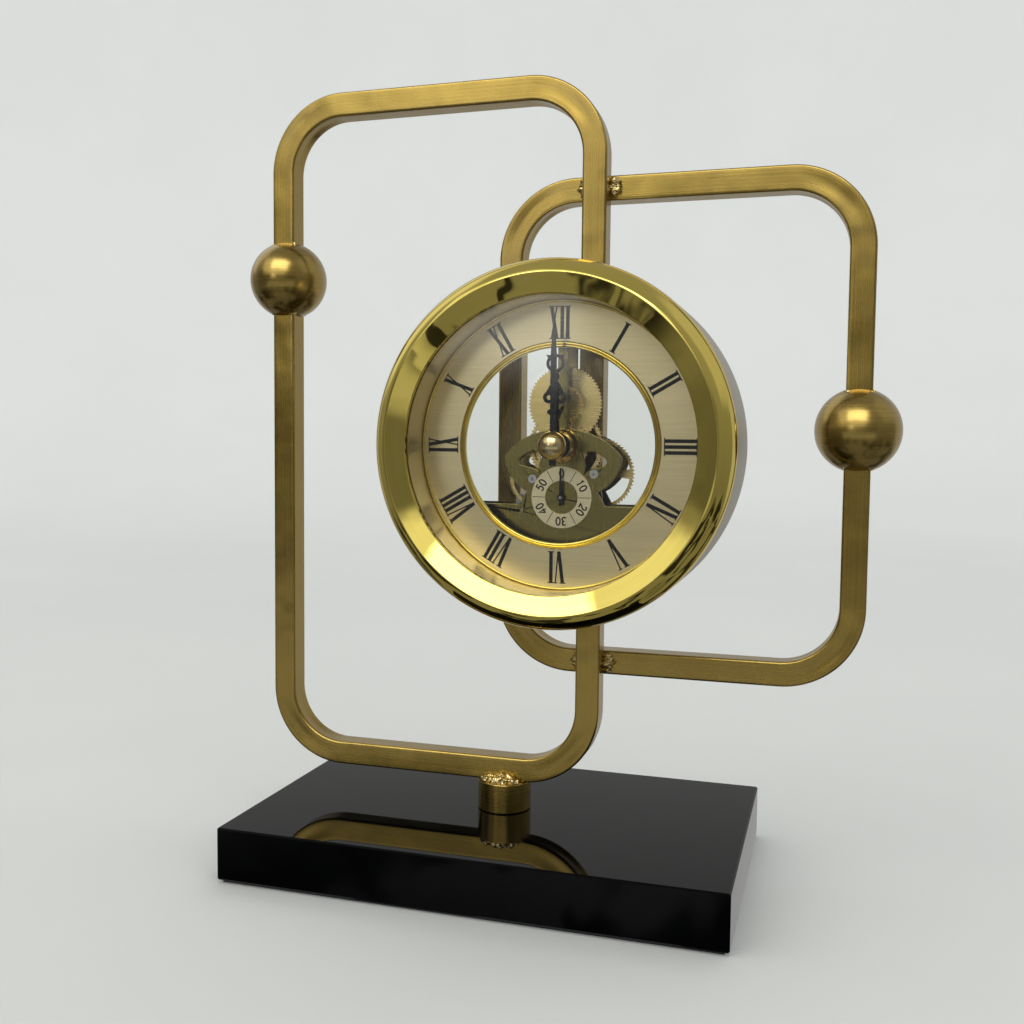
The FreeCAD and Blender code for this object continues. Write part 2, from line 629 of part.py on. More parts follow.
def make_welds():
    """Beads between the collar and the front loop, and where the two loops cross."""
    cone = doc.addObject("Part::Cone", "WeldCone")
    bind(cone, Radius1="collar_radius - 0.2", Radius2="collar_radius - bead_radius", Height="bead_radius")
    place(cone, "0", "0", FRONT_LOOP_BOTTOM)
    tube = box("-2 * collar_radius", "2 * collar_radius", f"-{HALF_TUBE}", HALF_TUBE, FRONT_LOOP_BOTTOM,
               f"{FRONT_LOOP_BOTTOM} + tube_size")
    collar_bead = cut(cone, tube)
    beads = []
    for level in (f"rear_loop_top - {HALF_TUBE}", f"rear_loop_bottom + {HALF_TUBE}"):
        for side in ("front_loop_right", "(front_loop_right - tube_size)"):
            foot = f"{level} - 0.4 * tube_size"
            beads.append(cylinder("bead_radius", "0.8 * tube_size", side, HALF_TUBE, foot))
    post = box("front_loop_right - tube_size", "front_loop_right", f"-{HALF_TUBE}",
               f"{HALF_TUBE} + bead_radius", "rear_loop_bottom", "rear_loop_top")
    behind = box("front_loop_right - 2 * tube_size", "front_loop_right + tube_size", HALF_TUBE,
                 f"{HALF_TUBE} + tube_size", "rear_loop_bottom", "rear_loop_top")
    keep(group(collar_bead, cut(group(*beads), post, behind)), "frame_welds")


# --- Clock case ---
def make_case():
    bore = "(drum_radius - drum_wall)"
    keep(turned([("drum_radius", "drum_back"), ("drum_radius", "drum_front"), (bore, "drum_front"),
                 (bore, FRAME_BACK), ("drum_radius - drum_lip", FRAME_BACK),
                 ("drum_radius - drum_lip", "drum_back")]), "drum_case")
    seat = "(glass_radius + fit_gap)"
    skirt = f"({bore} - fit_gap)"
    skirt_inner = f"({skirt} - bezel_skirt_wall)"
    keep(turned([("drum_radius", "drum_front", "bezel_crest / 3", True),
                 ("bezel_crest", "bezel_crest_depth"),
                 ("bezel_lip", "bezel_lip_depth"), ("bezel_lip", GLASS_FRONT), (seat, GLASS_FRONT),
                 (seat, GLASS_BACK), (skirt_inner, "drum_front"), (skirt_inner, "drum_front - bezel_skirt"),
                 (skirt, "drum_front - bezel_skirt"), (skirt, "drum_front")]), "bezel")
    keep(disc_solid("glass_radius", "glass_thickness", GLASS_BACK), "front_glass")
    outer = "(rim_radius + rim_wire + fit_gap + rehaut_wall)"
    inner = f"({outer} - rehaut_wall)"
    keep(turned([(inner, "dial_depth"), (outer, "dial_depth"), (outer, f"{GLASS_BACK} - rehaut_wall"),
                 ("glass_radius", f"{GLASS_BACK} - rehaut_wall"), ("glass_radius", GLASS_BACK),
                 (inner, GLASS_BACK)]), "rehaut_ring")
    frame_outer = f"({bore} - fit_gap)"
    glass_edge = "(back_opening + back_glass_seat)"
    glass_front = f"({FRAME_BACK} + back_glass_thickness)"
    frame = turned([("back_opening", REAR_PLATE), ("back_opening", glass_front),
                    (f"{glass_edge} + fit_gap", glass_front), (f"{glass_edge} + fit_gap", FRAME_BACK),
                    (frame_outer, FRAME_BACK), (frame_outer, REAR_PLATE)])
    holes = [forward_cylinder("mount_screw_radius + slip_fit", FRAME_BACK, REAR_PLATE, across, height)
             for across, middle, height in mount_points()]
    keep(cut(frame, *holes, *pillar_rods("screw_radius + slip_fit", "0", REAR_PLATE)), "back_frame")
    knob_hole = "knob_radius + 5 * fit_gap"
    keep(disc_ring(glass_edge, knob_hole, "back_glass_thickness", FRAME_BACK), "back_glass")


def disc_solid(radius, thickness, depth):
    return flat([], [(radius, "0", "0")], thickness, depth)


def make_dial():
    keep(disc_ring("dial_radius", "dial_opening", "dial_thickness", DIAL_BACK), "dial_ring")
    keep(disc_ring("rim_radius + rim_wire", "rim_radius", "rim_wire", "dial_depth"), "chapter_rim")
    step = "(dial_opening - fit_gap)"
    moulding = [("1", "0"), ("1", "0.5"), ("0.7", "0.7"), ("0.5", "0.25"), ("0.3", "0.8"), ("0", "0.6")]
    profile = [("trim_radius", DIAL_BACK), (step, DIAL_BACK), (step, "dial_depth")]
    profile += [(f"trim_radius + {share} * trim_width", f"dial_depth + {rise}") for share, rise in moulding]
    keep(turned(profile), "opening_trim")


# --- Fastening the head to the loops ---
def make_mounting():
    screws, spacers = [], []
    for across, middle, height in mount_points():
        face = f"(-({middle}))"                     # depth of this tube's front face
        back = f"({face} - tube_size)"
        head = forward_cylinder("mount_head_radius", f"{back} - mount_head_height", back, across, height)
        screws.append(fuse(head, forward_cylinder("mount_screw_radius", back, REAR_PLATE, across, height)))
        sleeve = forward_cylinder("spacer_radius", face, FRAME_BACK, across, height)
        hole = forward_cylinder("mount_screw_radius + slip_fit", face, FRAME_BACK, across, height)
        spacers.append(cut(sleeve, hole))
    keep(group(*screws), "head_screws")
    keep(group(*spacers), "head_spacers")


# --- Movement frame ---
PILLAR_BEARINGS = (40, 140, 195, 345)


def pillar_rods(radius, depth0, depth1):
    rods = []
    for bearing in PILLAR_BEARINGS:
        across = f"head_across + pillar_circle * cos({bearing} deg)"
        up = f"head_height + pillar_circle * sin({bearing} deg)"
        rods.append(forward_cylinder(radius, depth0, depth1, across, up))
    return rods


def mirrored(corners):
    """The same outline reflected left to right, still drawn in the same turning sense."""
    result = []
    for at in range(len(corners) - 1, -1, -1):
        result.append((f"-({corners[at][0]})", corners[at][1]) + tuple(corners[at - 1][2:]))
    return result


# Right-hand window beside the centre nut, clockwise from its inner top corner
LEAF = [("5.8", "-2.4"), ("9.4", "-1.6", "9", False), ("13.9", "-4.2", "1.3", False), ("13.2", "-6.1"),
        ("10", "-6.9", "5", True), ("6.9", "-8.9", "6", True)]


def bridge_plate(depth, bores):
    """Half a movement frame: a stem, a domed bridge and a foot on a rim that is open at the cell."""
    half = [("stem_half", "plate_rim_inner + 2"), ("stem_half", "stem_swell_level + 4"),
            ("stem_swell", "stem_swell_level"), ("stem_half", "stem_swell_level - 2.6"),
            ("stem_half", "dome_top + 2.4", "2.4", True),
            ("stem_half + 2.4", "dome_top", "dome_half * 1.15", False),
            ("dome_half", "dome_wide_level", "dome_half * 0.75", False), ("neck_half", "neck_level"),
            ("foot_half", "foot_level"), ("foot_reach", "foot_level"), ("foot_reach", "zone_top")]
    bridge = flat([half + mirrored(half)], [], "plate_thickness", depth)
    rim = disc_ring("plate_rim_outer", "plate_rim_inner", "plate_thickness", depth)
    behind = f"{depth} - plate_thickness"
    reach = "(holder_reach + 8 * fit_gap)"
    zone = head_box(f"head_across - {reach}", f"head_across + {reach}", behind,
                    f"{depth} + 2 * plate_thickness", "head_height - drum_radius", "head_height + zone_top")
    windows = [flat([leaf], [], "3 * plate_thickness", behind) for leaf in (LEAF, mirrored(LEAF))]
    holes = [forward_cylinder(radius, f"{depth} - 1", f"{depth} + 2", f"head_across + {stand[0]:.6f}",
                              f"head_height + {stand[1]:.6f}") for radius, stand in bores]
    return cut(fuse(bridge, rim), zone, *windows, *holes)


def make_plates():
    pivot = "arbor_radius + pivot_clearance"
    small = [(pivot, stand) for stand in (SECONDS, MOTION, THIRD, INTERMEDIATE, ROTOR)]
    pipe = "hour_pipe_radius + pivot_clearance"
    rear_hole = "minute_arbor_radius + pivot_clearance"
    keep(bridge_plate("plate_depth", small + [(pipe, CENTRE)]), "front_plate")
    rear = bridge_plate(REAR_PLATE, small + [(rear_hole, CENTRE)])
    keep(cut(rear, *pillar_rods("screw_radius + slip_fit", REAR_PLATE, REAR_PLATE_FRONT)), "rear_plate")
    bodies = pillar_rods("pillar_radius", REAR_PLATE_FRONT, "plate_depth")
    bores = pillar_rods("screw_radius + slip_fit", REAR_PLATE_FRONT, f"{REAR_PLATE_FRONT} + 4")
    keep(group(*[cut(body, bore) for body, bore in zip(bodies, bores)]), "plate_pillars")
    keep(group(*pillar_rods("pillar_radius", PLATE_FRONT, DIAL_BACK)), "dial_posts")
    heads = pillar_rods("screw_head_radius", f"{FRAME_BACK} - screw_head_height", FRAME_BACK)
    shanks = pillar_rods("screw_radius", FRAME_BACK, f"{REAR_PLATE_FRONT} + 4")
    keep(group(*[fuse(head, shank) for head, shank in zip(heads, shanks)]), "plate_screws")
    bushes = []
    for stand in (THIRD, INTERMEDIATE):
        across, up = f"head_across + {stand[0]:.6f}", f"head_height + {stand[1]:.6f}"
        bush_front = f"{PLATE_FRONT} + pivot_bush_height"
        outer = forward_cylinder("pivot_bush_radius", PLATE_FRONT, bush_front, across, up)
        bore = forward_cylinder(pivot, PLATE_FRONT, bush_front, across, up)
        bushes.append(cut(outer, bore))
    keep(group(*bushes), "pivot_bushes")
    keep(disc_ring("seconds_dial_radius", "seconds_dial_opening", "seconds_dial_thickness", PLATE_FRONT,
                   HEAD_X, "head_height - seconds_drop"), "seconds_dial")
    bore = "(hour_pipe_radius + pivot_clearance)"
    front = f"{PLATE_FRONT} + bush_length"
    keep(turned([(bore, PLATE_FRONT), ("bush_radius", PLATE_FRONT),
                 ("bush_radius", f"{PLATE_FRONT} + 0.2 * bush_length"),
                 ("bush_front_radius", f"{PLATE_FRONT} + 0.6 * bush_length"),
                 ("bush_front_radius", front), (bore, front)]), "centre_nut")


# --- Going train and motion work ---
def make_arbor(label, stand, pieces):
    """An arbor with its collars and leaves: pieces are solids about the arbor's own axis."""
    return computed(label, pieces[0].multiFuse(pieces[1:]), stand)


def make_train():
    radius = number("arbor_radius")
    thick = number("wheel_thickness")
    leaves = int(number("pinion_leaves"))
    train, fast = number("train_module"), number("seconds_module")
    rear, front = number(REAR_PLATE), number(f"{PLATE_FRONT} + leaf_stub")
    inside = number(f"{REAR_PLATE_FRONT} + side_shake")
    depth = {name: number(f"{name}_wheel_depth") for name in ("centre", "intermediate", "third", "seconds")}
    overlap = number("leaf_overhang")

    # Centre wheel and third arbor
    wheel_phase, leaf_phase = mesh_phases(CENTRE, THIRD, leaves)
    wheel("centre_wheel", int(number("centre_teeth")), train, wheel_phase, depth["centre"],
          number("minute_arbor_radius + pivot_clearance"), 5, CENTRE)
    make_arbor("third_arbor", THIRD, [rod(radius, rear, front), toothed(
        leaves, train, leaf_phase, depth["centre"] - overlap, depth["centre"] + thick + overlap)])
    # Third wheel and seconds arbor
    wheel_phase, leaf_phase = mesh_phases(THIRD, SECONDS, leaves)
    wheel("third_wheel", int(number("third_teeth")), train, wheel_phase, depth["third"], radius, 4, THIRD)
    seconds_tip = number("seconds_hand_depth + hand_thickness")
    make_arbor("seconds_arbor", SECONDS, [rod(radius, rear, seconds_tip), toothed(
        leaves, train, leaf_phase, depth["third"] - overlap, depth["third"] + thick + overlap)])
    # Seconds wheel and intermediate arbor
    ten = int(number("intermediate_leaves"))
    wheel_phase, leaf_phase = mesh_phases(SECONDS, INTERMEDIATE, ten)
    wheel("seconds_wheel", int(number("seconds_teeth")), fast, wheel_phase, depth["seconds"], radius, 4,
          SECONDS)
    make_arbor("intermediate_arbor", INTERMEDIATE, [rod(radius, rear, front), toothed(
        ten, fast, leaf_phase, inside, depth["seconds"] + thick + overlap)])
    # Intermediate wheel and rotor
    spin = number("rotor_module")
    wheel_phase, leaf_phase = mesh_phases(INTERMEDIATE, ROTOR, leaves)
    wheel("intermediate_wheel", int(number("intermediate_teeth")), spin, wheel_phase, depth["intermediate"],
          radius, 4, INTERMEDIATE)
    make_arbor("rotor_arbor", ROTOR, [rod(radius, rear, number(PLATE_FRONT)), toothed(
        leaves, spin, leaf_phase, depth["intermediate"] - overlap, depth["intermediate"] + thick + overlap)])
    magnet_back = number("stator_depth - rotor_overhang")
    magnet_front = number("stator_depth + stator_thickness + rotor_overhang")
    magnet = rod(number("rotor_radius"), magnet_back, magnet_front)
    computed("rotor_magnet", magnet.cut(rod(radius, magnet_back, magnet_front)), ROTOR)


def make_motion_work():
    thick = number("wheel_thickness")
    radius = number("arbor_radius")
    clearance = number("pivot_clearance")
    shake = number("side_shake")
    leaves = int(number("pinion_leaves"))
    minute_teeth, hour_teeth, minute_leaves = (int(number(name)) for name in
                                               ("minute_teeth", "hour_teeth", "minute_leaves"))
    rise = number("motion_rise")
    cannon_module = 2 * rise / (minute_teeth + leaves)
    hour_module = 2 * rise / (hour_teeth + minute_leaves)
    hour, minute, centre = (number(f"{name}_wheel_depth") for name in ("hour", "minute", "centre"))
    shaft = number("minute_arbor_radius")
    overlap = number("leaf_overhang")

    # The shoulder on the motion arbor stops behind the centre wheel
    make_arbor("motion_arbor", MOTION, [rod(radius, number(REAR_PLATE), number(PLATE_FRONT)),
                                        rod(2 * radius, number(REAR_PLATE_FRONT) + shake, centre - shake)])
    wheel_phase, leaf_phase = mesh_phases(MOTION, CENTRE, leaves)
    bore = radius + clearance
    wheel("minute_wheel", minute_teeth, cannon_module, wheel_phase, minute, bore, 0, MOTION)
    cannon = toothed(leaves, cannon_module, leaf_phase, minute - overlap, minute + thick + overlap)
    seat = number("slip_fit")
    collar = rod(number("minute_arbor_radius + shoulder_width"), centre - 1, centre - seat)
    arbor = rod(shaft, number("drum_back + 4 * fit_gap"), number("minute_hand_depth + hand_thickness") + 1)
    make_arbor("minute_arbor", CENTRE, [arbor, cannon, collar])
    spring = rod(3 * shaft, centre + thick + seat, minute - overlap - seat)
    computed("clutch_spring", spring.cut(rod(shaft, centre, minute)), CENTRE)
    wheel_phase, leaf_phase = mesh_phases(CENTRE, MOTION, minute_leaves)
    pinion = toothed(minute_leaves, hour_module, leaf_phase, minute + thick, hour + thick + shake)
    computed("minute_pinion", pinion.cut(rod(bore, minute, hour + 2)), MOTION)
    sleeve_radius = shaft + clearance + number("sleeve_wall")
    sleeve_front = number("hour_hand_depth") - shake
    sleeve = rod(sleeve_radius, minute + thick + 2 * shake, sleeve_front)
    computed("hour_sleeve", sleeve.cut(rod(shaft + clearance, minute, sleeve_front + 1)), CENTRE)
    pipe_bore = sleeve_radius + clearance
    teeth = toothed(hour_teeth, hour_module, wheel_phase, hour, hour + thick)
    pipe = rod(number("hour_pipe_radius"), hour, number("hour_hand_depth + hand_thickness"))
    inside = rod(pipe_bore, minute, number("hour_hand_depth") + 2)
    computed("hour_wheel", teeth.fuse(pipe).cut(inside), CENTRE)


# --- Hands ---
def hand_blade(corners, depth, x=HEAD_X, z=HEAD_Z):
    """A hand's outline from its right half, given from the foot upwards."""
    outline = list(reversed(corners)) + mirrored(list(reversed(corners)))
    return flat([outline], [], "hand_thickness", depth, x, z)


def hand_disc(radius, depth, across="0", up="0"):
    return forward_cylinder(radius, depth, f"({depth}) + hand_thickness", f"head_across + ({across})",
                            f"head_height + ({up})")


def make_hands():
    depth = "hour_hand_depth"
    reach = "hour_hand_length"
    stem = hand_blade([("1.6", "2"), ("1.2", f"0.33 * {reach}"), ("2.5", f"0.355 * {reach}"),
                       ("2.2", f"0.39 * {reach}"), ("1.2", f"0.4 * {reach}"), ("1.2", f"0.6 * {reach}"),
                       ("1.1", f"0.67 * {reach}"), ("0.7", f"0.71 * {reach}"), ("1.3", f"0.75 * {reach}"),
                       ("0.9", f"0.8 * {reach}")], depth)
    lobes = [hand_disc("1.75", depth, f"{side}2.0", f"0.525 * {reach}") for side in ("", "-")]
    shoulders = hand_blade([("1.2", f"0.55 * {reach}"), ("2.9", f"0.58 * {reach}"),
                            ("1.1", f"0.69 * {reach}")], depth)
    ring_level = f"head_height + 0.895 * {reach}"
    ring = disc_ring("2.8", "1.9", "hand_thickness", depth, HEAD_X, ring_level)
    crown = hand_blade([("2.2", f"0.95 * {reach}"), ("2.9", f"0.99 * {reach}"), ("1", f"0.98 * {reach}"),
                        ("0.3", reach)], depth)
    solid = fuse(hand_disc("hand_hub_radius", depth), stem, *lobes, shoulders, ring, crown)
    eyes = [forward_cylinder("0.7", f"{depth} - 1", f"{depth} + 2", f"head_across + {side}1.9",
                             f"head_height + 0.525 * {reach}") for side in ("", "-")]
    bore = forward_cylinder("hour_pipe_radius", f"{depth} - 1", f"{depth} + 2")
    clear = forward_cylinder("1.9", f"{depth} - 1", f"{depth} + 2", HEAD_X, ring_level)
    keep(cut(solid, *eyes, bore, clear), "hour_hand")

    depth = "minute_hand_depth"
    blade = hand_blade([("1.1", "-6"), ("0.9", "0"), ("0.95", "0.75 * minute_hand_length"),
                        ("0.35", "minute_hand_length")], depth)
    bore = forward_cylinder("minute_arbor_radius", f"{depth} - 1", f"{depth} + 2")
    keep(cut(fuse(hand_disc("0.75 * hand_hub_radius", depth), blade), bore), "minute_hand")
    front = f"({depth} + hand_thickness)"
    middle = f"({front} + 1)"
    ball = sphere("cap_radius", HEAD_X, f"{LOOP_FACE} - {middle}", HEAD_Z)
    behind = head_box("head_across - 2 * cap_radius", "head_across + 2 * cap_radius",
                      f"{front} - 4 * cap_radius", front,
                      "head_height - 2 * cap_radius", "head_height + 2 * cap_radius")
    keep(cut(ball, behind, forward_cylinder("minute_arbor_radius", front, middle)), "hand_cap")

    depth = "seconds_hand_depth"
    level = "head_height - seconds_drop"
    blade = hand_blade([("0.45", "-2.6"), ("0.4", "0"), ("0.22", "seconds_hand_length")], depth, HEAD_X, level)
    hub = forward_cylinder("1", depth, f"{depth} + hand_thickness", HEAD_X, level)
    bore = forward_cylinder("arbor_radius", f"{depth} - 1", f"{depth} + 2", HEAD_X, level)
    keep(cut(fuse(blade, hub), bore), "seconds_hand")

    back = "(drum_back + knob_sink)"
    knob = forward_cylinder("knob_radius", back, f"{back} + knob_thickness")
    bore = forward_cylinder("minute_arbor_radius", f"{back} - 1", f"{back} + knob_thickness + 1")
    dimple = sphere("knob_radius / 2", "head_across - 0.55 * knob_radius",
                    f"{LOOP_FACE} - {back} + 0.3 * knob_radius", HEAD_Z)
    keep(cut(knob, bore, dimple), "setting_knob")


# --- Motor, circuit and cell ---
def make_motor():
    back, front = "stator_depth", "(stator_depth + stator_thickness)"
    rotor_x, rotor_z = f"(head_across + {ROTOR[0]:.6f})", f"(head_height + {ROTOR[1]:.6f})"
    coil_z = "(head_height + coil_level)"
    low, high = f"({coil_z} - coil_radius)", f"({coil_z} + coil_radius + 4 * fit_gap)"
    left = f"({rotor_x} + pole_half)"
    right = f"({left} + coil_length + stator_leg / 2)"
    end = f"({right} + stator_leg)"
    pole = head_box(f"{rotor_x} - pole_half", left, back, front, low, f"{rotor_z} + pole_half")
    arm = head_box(left, end, back, front, high, f"{high} + stator_arm")
    leg = head_box(right, end, back, front, low, f"{high} + stator_arm")
    hole = forward_cylinder("rotor_radius + rotor_gap", f"{back} - 1", f"{front} + 1", rotor_x, rotor_z)
    keep(cut(fuse(pole, arm, leg), hole), "stator")
    fixings = []
    for across in (f"{rotor_x} - 2 * stator_post_radius", f"{right} + stator_leg / 2"):
        level = f"{low} + 2"
        fixings.append(forward_cylinder("stator_post_radius", REAR_PLATE_FRONT, back, across, level))
        fixings.append(forward_cylinder("0.75 * stator_post_radius", front, f"{front} + 0.5", across, level))
    keep(group(*fixings), "stator_fixings")

    middle = "(stator_depth + stator_thickness / 2)"
    keep(head_box(left, right, back, front, f"{coil_z} - core_half", f"{coil_z} + core_half"), "coil_core")
    inner_left, inner_right = f"({left} + bobbin_flange)", f"({right} - bobbin_flange)"
    tunnel = "(core_half + bobbin_wall)"
    core_space = head_box(left, right, f"{back} - slip_fit", f"{front} + slip_fit",
                          f"{coil_z} - core_half - slip_fit", f"{coil_z} + core_half + slip_fit")
    bobbin = fuse(sideways_cylinder(tunnel, left, right, middle, coil_z),
                  sideways_cylinder("coil_radius", left, inner_left, middle, coil_z),
                  sideways_cylinder("coil_radius", inner_right, right, middle, coil_z))
    keep(cut(bobbin, core_space), "coil_bobbin")
    keep(cut(sideways_cylinder("coil_radius - fit_gap", inner_left, inner_right, middle, coil_z),
             sideways_cylinder(tunnel, inner_left, inner_right, middle, coil_z)), "coil_winding")

    board_end = f"({end} + board_length)"
    board_top = f"{low} + board_height"
    board = head_box(end, board_end, back, f"{back} + board_thickness", low, board_top)
    chip = sphere("2.4", f"{end} + 4", f"{LOOP_FACE} - {back} + 0.6", f"{low} + 5")
    chip_space = head_box(end, board_end, f"{back} - 4", f"{back} + board_thickness", low, board_top)
    crystal = cylinder("1", "6", f"{end} + 9", f"{LOOP_FACE} - {back} - 2", f"{low} + 1.5")
    keep(group(board, cut(chip, chip_space), crystal), "circuit_board")


def make_cell():
    axis_z = "(head_height + cell_level)"
    cell_left, cell_right = "(head_across - cell_length / 2)", "(head_across + cell_length / 2)"
    shoulder = f"({cell_right} - stud_length)"
    keep(fuse(sideways_cylinder("cell_radius", cell_left, shoulder, "cell_depth", axis_z),
              sideways_cylinder("stud_radius", shoulder, cell_right, "cell_depth", axis_z)), "cell")
    floor_z = f"({axis_z} - cell_radius - fit_gap)"
    floor_depth = f"({REAR_PLATE} + holder_wall)"
    inner_left = "(head_across - holder_reach + holder_wall)"
    inner_right = "(head_across + holder_reach - holder_wall)"
    tray = head_box("head_across - holder_reach", "head_across + holder_reach", REAR_PLATE, "cell_depth",
                    f"{floor_z} - holder_wall", "head_height + zone_top - 2 * fit_gap")
    space = head_box(inner_left, inner_right, floor_depth, "cell_depth + 1", floor_z, HEAD_Z)
    keep(cut(tray, space), "cell_holder")
    contacts = []
    for left, right, spring_left, spring_right, radius in (
            (inner_left, f"{inner_left} + contact_thickness", inner_left, cell_left, "2.5"),
            (f"{inner_right} - contact_thickness", inner_right, cell_right, inner_right, "2")):
        strip = head_box(left, right, floor_depth, "cell_depth", floor_z, f"{axis_z} + 4")
        spring = sideways_cylinder(radius, spring_left, spring_right, "cell_depth - 1", axis_z)
        contacts.append(fuse(strip, spring))
    keep(group(*contacts), "cell_contacts")


make_base()
make_loops()
make_welds()
make_case()
make_dial()
make_mounting()
make_plates()
make_train()
make_motion_work()
make_hands()
make_motor()
make_cell()
doc.recompute()

faults = [thing.Label for thing in doc.Objects if {"Invalid", "Error"} & set(thing.State)]
faults += [part.Label for part in parts if part.Shape.isNull() or not part.Shape.isValid()]
if faults:
    raise SystemExit("not built: " + ", ".join(faults))
labels = [part.Label for part in parts]
if len(set(labels)) != len(labels) or len(labels) > 60:
    raise SystemExit(f"{len(labels)} labels repeat or are too many: {sorted(labels)}")
os.makedirs("parts", exist_ok=True)
for part in parts:
    part.Shape.exportStep(f"parts/{part.Label}.step")
print(len(parts), "parts written")
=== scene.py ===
"""Mantel clock: the finish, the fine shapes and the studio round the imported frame."""
import json
import math

import bmesh
import bpy
from mathutils import Matrix, Vector, noise


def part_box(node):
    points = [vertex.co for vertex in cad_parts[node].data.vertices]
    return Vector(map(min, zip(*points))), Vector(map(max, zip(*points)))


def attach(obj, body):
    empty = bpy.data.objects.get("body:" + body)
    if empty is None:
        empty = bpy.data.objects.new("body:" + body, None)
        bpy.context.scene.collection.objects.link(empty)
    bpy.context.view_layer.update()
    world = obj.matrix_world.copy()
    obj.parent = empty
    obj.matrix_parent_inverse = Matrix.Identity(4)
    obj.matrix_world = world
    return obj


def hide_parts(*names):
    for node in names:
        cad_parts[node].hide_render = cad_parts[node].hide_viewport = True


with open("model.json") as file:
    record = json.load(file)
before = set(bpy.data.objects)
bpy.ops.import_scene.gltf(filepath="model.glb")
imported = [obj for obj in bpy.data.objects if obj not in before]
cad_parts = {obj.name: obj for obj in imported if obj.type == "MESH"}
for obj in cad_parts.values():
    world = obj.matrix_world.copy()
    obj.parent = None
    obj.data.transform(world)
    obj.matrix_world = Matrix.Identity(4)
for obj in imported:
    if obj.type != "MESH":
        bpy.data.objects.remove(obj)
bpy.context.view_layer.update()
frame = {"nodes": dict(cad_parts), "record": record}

MM = 0.001
BODY = "clock_body"
SCENE = bpy.context.scene


def node_middle(node):
    low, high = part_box(node)
    return (low + high) / 2


HEAD = node_middle("dial_ring")         # the clock's axis runs through it, along y
SUB_DIAL = node_middle("seconds_dial")
COLLAR = node_middle("post_collar")


# --- Node graphs ---
def put(tree, kind, inputs=(), **settings):
    """One shader node; an input is a socket to link or a value to set."""
    node = tree.nodes.new(kind)
    for key, value in settings.items():
        setattr(node, key, value)
    for key, value in dict(inputs).items():
        if isinstance(value, bpy.types.NodeSocket):
            tree.links.new(value, node.inputs[key])
        else:
            node.inputs[key].default_value = value
    return node


def blank(name):
    material = bpy.data.materials.new(name)
    material.use_nodes = True
    tree = material.node_tree
    return material, tree, tree.nodes["Principled BSDF"]


def coordinates(tree, way):
    """Metres: across the whole object, or along and around a swept or turned piece."""
    if way == "grain":
        return put(tree, "ShaderNodeUVMap", uv_map="grain").outputs["UV"]
    return put(tree, "ShaderNodeTexCoord").outputs["Object"]


def streaks(tree, coords, cells, detail=4.0, roughness=0.6):
    """Noise with so many cells to the metre along each axis; unequal numbers draw it out into grain."""
    mapped = put(tree, "ShaderNodeMapping", {"Vector": coords, "Scale": cells})
    return put(tree, "ShaderNodeTexNoise", {"Vector": mapped.outputs[0], "Scale": 1.0, "Detail": detail,
                                            "Roughness": roughness}).outputs["Fac"]


def spread(tree, value, low, high, start=0.3, stop=0.7):
    """A noise value moved on to the range low to high."""
    return put(tree, "ShaderNodeMapRange", {"Value": value, "From Min": start, "From Max": stop,
                                            "To Min": low, "To Max": high}).outputs[0]


def ramp(tree, value, dark, light, start=0.3, stop=0.7):
    node = put(tree, "ShaderNodeValToRGB", {"Fac": value})
    node.color_ramp.elements[0].position = start
    node.color_ramp.elements[1].position = stop
    node.color_ramp.elements[0].color = (*dark, 1)
    node.color_ramp.elements[1].color = (*light, 1)
    return node.outputs["Color"]


def metal(name, dark, light, shine, cells, way="object", relief=0.0, clouds=60.0, metallic=1.0, along=0.0,
          lacquer=0.0, waves=0.0):
    """Metal with a grain: two tones, a range of roughness, a fine relief in metres, and slow patches of wear.

    Waves are the height in metres of slow dents from bending and polishing.
    """
    material, tree, shader = blank(name)
    coords = coordinates(tree, way)
    grain = streaks(tree, coords, cells)
    patches = streaks(tree, put(tree, "ShaderNodeTexCoord").outputs["Object"], (clouds,) * 3, 3.0)
    both = put(tree, "ShaderNodeMix", {"Factor": 0.35, "A": grain, "B": patches}).outputs[0]
    tree.links.new(ramp(tree, both, dark, light), shader.inputs["Base Color"])
    tree.links.new(spread(tree, both, *shine), shader.inputs["Roughness"])
    shader.inputs["Metallic"].default_value = metallic
    if relief:
        bump = put(tree, "ShaderNodeBump", {"Height": grain, "Strength": 1.0, "Distance": relief})
        if waves:
            dents = streaks(tree, put(tree, "ShaderNodeTexCoord").outputs["Object"], (38.0,) * 3, 2.0)
            bump = put(tree, "ShaderNodeBump", {"Height": dents, "Strength": 1.0, "Distance": waves,
                                                "Normal": bump.outputs[0]})
        tree.links.new(bump.outputs[0], shader.inputs["Normal"])
    shader.inputs["Coat Weight"].default_value = lacquer
    shader.inputs["Coat Roughness"].default_value = 0.12
    if along:
        shader.inputs["Anisotropic"].default_value = along
        shader.inputs["Anisotropic Rotation"].default_value = 0.25      # light spreads across the grain
        tangent = put(tree, "ShaderNodeTangent", direction_type="UV_MAP", uv_map="grain")
        tree.links.new(tangent.outputs[0], shader.inputs["Tangent"])
    return material


def gloss(name, dark, light, shine, cells, relief=0.0, specular=0.5):
    """Lacquer, stone or moulded plastic: a coloured surface with faint mottling."""
    material, tree, shader = blank(name)
    mottle = streaks(tree, coordinates(tree, "object"), (cells,) * 3)
    tree.links.new(ramp(tree, mottle, dark, light), shader.inputs["Base Color"])
    tree.links.new(spread(tree, mottle, *shine), shader.inputs["Roughness"])
    shader.inputs["Specular IOR Level"].default_value = specular
    if relief:
        bump = put(tree, "ShaderNodeBump", {"Height": mottle, "Strength": 1.0, "Distance": relief})
        tree.links.new(bump.outputs[0], shader.inputs["Normal"])
    return material


